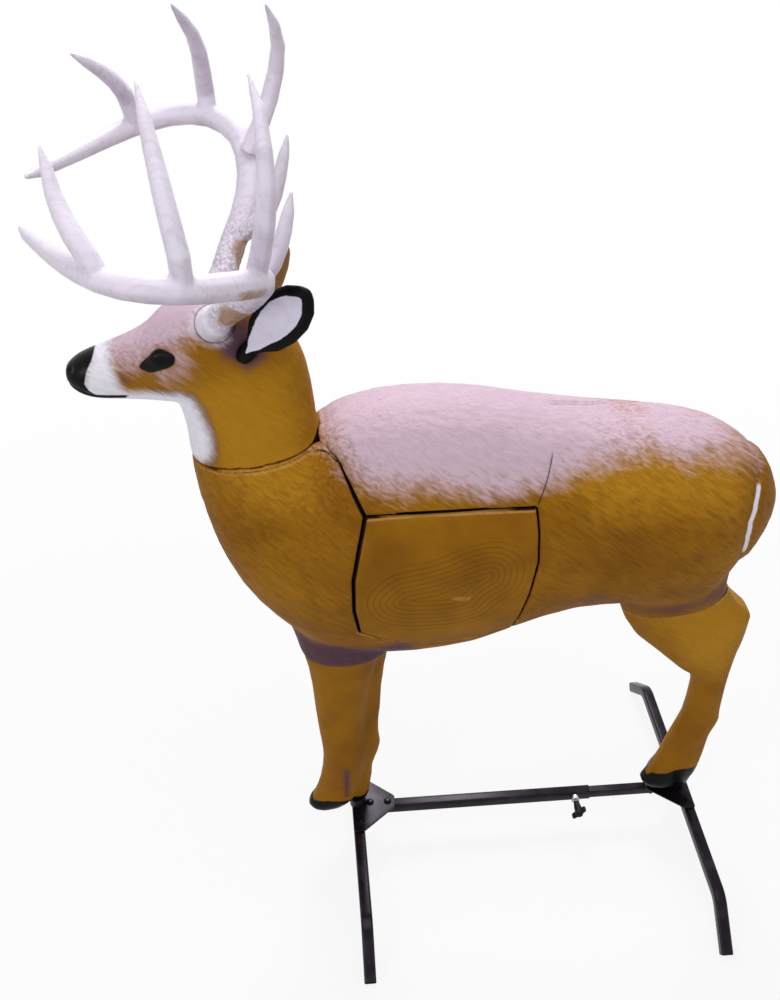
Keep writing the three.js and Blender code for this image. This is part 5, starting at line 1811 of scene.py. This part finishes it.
class TARGET_OT_plain_parts(bpy.types.Operator):
    """Give the CAD parts that stay as they are their finish"""

    bl_idname = "target.plain_parts"
    bl_label = "Dowels and packing"

    def execute(self, context):
        timber = finish("turned_beech", turned_beech)
        for name, node in frame["nodes"].items():
            if "dowel" in name or "peg" in name:
                material = timber
            elif name == "rear_packing_strip":
                material = steel_coat()
            else:
                continue
            node.data.materials.clear()
            node.data.materials.append(material)
        for helper in ("target_skin", TUFTS):
            found = bpy.data.objects.get(helper)
            if found:
                bpy.data.objects.remove(found)
        return {"FINISHED"}


# Stage


def direct_rays(tree):
    """One for what the camera sees, also in gloss and through glass, and nought for other light."""
    path = add(tree, "ShaderNodeLightPath").outputs
    gloss = {0: path["Is Glossy Ray"], 1: path["Is Transmission Ray"]}
    through = add(tree, "ShaderNodeMath", gloss, operation="ADD", use_clamp=True).outputs[0]
    both = {0: path["Is Camera Ray"], 1: through}
    return add(tree, "ShaderNodeMath", both, operation="ADD", use_clamp=True).outputs[0]


def backdrop_material():
    """Pale studio floor that the camera sees as white but for the shadow round the stand."""
    made, tree, output = new_material("studio_floor")
    seen = direct_rays(tree)
    place = add(tree, "ShaderNodeTexCoord").outputs["Object"]
    away = add(tree, "ShaderNodeVectorMath", {0: place}, operation="LENGTH").outputs["Value"]
    # Beyond the stand, from one to two metres out, nothing but the white is left.
    white = add(tree, "ShaderNodeMapRange", {0: away, 1: 0.9, 2: 2.0, 3: 0.87, 4: 1.0}).outputs[0]
    share = add(tree, "ShaderNodeMath", {0: seen, 1: white}, operation="MULTIPLY", use_clamp=True)
    floor = add(tree, "ShaderNodeBsdfDiffuse", {"Color": colours().floor})
    glow = add(tree, "ShaderNodeEmission", {"Color": (1, 1, 1, 1), "Strength": 1.0})
    mixed = add(tree, "ShaderNodeMixShader", {0: share.outputs[0], 1: floor.outputs[0], 2: glow.outputs[0]})
    tree.links.new(mixed.outputs[0], output.inputs[0])
    return made


def softbox(name, place, aim, size, power):
    """A square studio lamp that looks at a point."""
    light = bpy.data.lights.new(name, "AREA")
    light.energy = power
    light.size = size
    lamp = bpy.data.objects.new(name, light)
    lamp.location = place
    lamp.rotation_euler = (Vector(aim) - Vector(place)).to_track_quat("-Z", "Y").to_euler()
    bpy.context.scene.collection.objects.link(lamp)


def photo_camera():
    """The photo's own view: eye height, just ahead of the front post, turned a little to the rear."""
    lens = bpy.data.cameras.new("photo_camera")
    lens.sensor_width = 36
    lens.lens = 43.08
    lens.clip_end = 60
    camera = bpy.data.objects.new("photo_camera", lens)
    camera.location = (POST - 61 * MM, -1.365, 1.764)
    camera.rotation_euler = (math.radians(53.2), 0, math.radians(-4.955))
    bpy.context.scene.collection.objects.link(camera)
    return camera


def studio_world():
    """A world that the camera sees as white and that lights the target at about a third."""
    world = bpy.data.worlds.new("studio_world")
    world.use_nodes = True
    tree = world.node_tree
    tree.nodes.clear()
    strength = add(tree, "ShaderNodeMapRange", {0: direct_rays(tree), 3: 0.34, 4: 1.0})
    sky = add(tree, "ShaderNodeBackground", {"Color": (1, 1, 1, 1), "Strength": strength.outputs[0]})
    output = add(tree, "ShaderNodeOutputWorld")
    tree.links.new(sky.outputs[0], output.inputs[0])
    return world


class TARGET_OT_stage(bpy.types.Operator):
    """Set the camera, floor, lamps and world"""

    bl_idname = "target.stage"
    bl_label = "Stage"

    def execute(self, context):
        scene = context.scene
        scene.camera = photo_camera()
        pick()
        bpy.ops.mesh.primitive_plane_add(size=40)
        floor = added("studio_floor")
        floor.data.materials.append(backdrop_material())
        # Each lamp: its name, place, aim, size and power.
        for lamp in (
            ("back_softbox", (0.2, 2.4, 3.2), (0, 0, 0.6), 1.3, 85),
            ("top_softbox", (0, -0.6, 3.2), (0, 0, 0.6), 2.0, 30),
            ("key_softbox", (-2.4, -2.5, 2.0), (0, 0, 0.7), 1.4, 32),
            ("fill_softbox", (2.6, -1.8, 1.6), (0.1, 0, 0.6), 1.6, 10),
        ):
            softbox(*lamp)
        scene.world = studio_world()
        scene.view_settings.view_transform = "Standard"
        return {"FINISHED"}


# Panel and registration

STEPS = (
    TARGET_OT_stage,
    TARGET_OT_foam_skin,
    TARGET_OT_body,
    TARGET_OT_insert,
    TARGET_OT_legs,
    TARGET_OT_head,
    TARGET_OT_ears,
    TARGET_OT_antlers,
    TARGET_OT_crossbars,
    TARGET_OT_long_bar,
    TARGET_OT_plates,
    TARGET_OT_fasteners,
    TARGET_OT_posts,
    TARGET_OT_plugs,
    TARGET_OT_lock,
    TARGET_OT_plain_parts,
)


class TARGET_PT_panel(bpy.types.Panel):
    """Lists the target's building steps, sizes and colours"""

    bl_idname = "TARGET_PT_panel"
    bl_label = "Archery target"
    bl_space_type = "VIEW_3D"
    bl_region_type = "UI"
    bl_category = "Target"

    def draw(self, context):
        layout = self.layout
        for step in STEPS:
            layout.operator(step.bl_idname)
        for settings in (context.scene.target_stand, context.scene.target_foam, context.scene.target_colours):
            box = layout.box()
            for key in settings.__annotations__:
                box.prop(settings, key)


CLASSES = (TargetStandSizes, TargetFoamSizes, TargetColours, *STEPS, TARGET_PT_panel)


def register():
    for item in CLASSES:
        bpy.utils.register_class(item)
    bpy.types.Scene.target_stand = bpy.props.PointerProperty(type=TargetStandSizes)
    bpy.types.Scene.target_foam = bpy.props.PointerProperty(type=TargetFoamSizes)
    bpy.types.Scene.target_colours = bpy.props.PointerProperty(type=TargetColours)


def unregister():
    del bpy.types.Scene.target_colours
    del bpy.types.Scene.target_foam
    del bpy.types.Scene.target_stand
    for item in reversed(CLASSES):
        bpy.utils.unregister_class(item)


def main():
    register()
    for step in STEPS:
        getattr(bpy.ops.target, step.bl_idname.removeprefix("target."))()


if __name__ == "__main__":
    main()
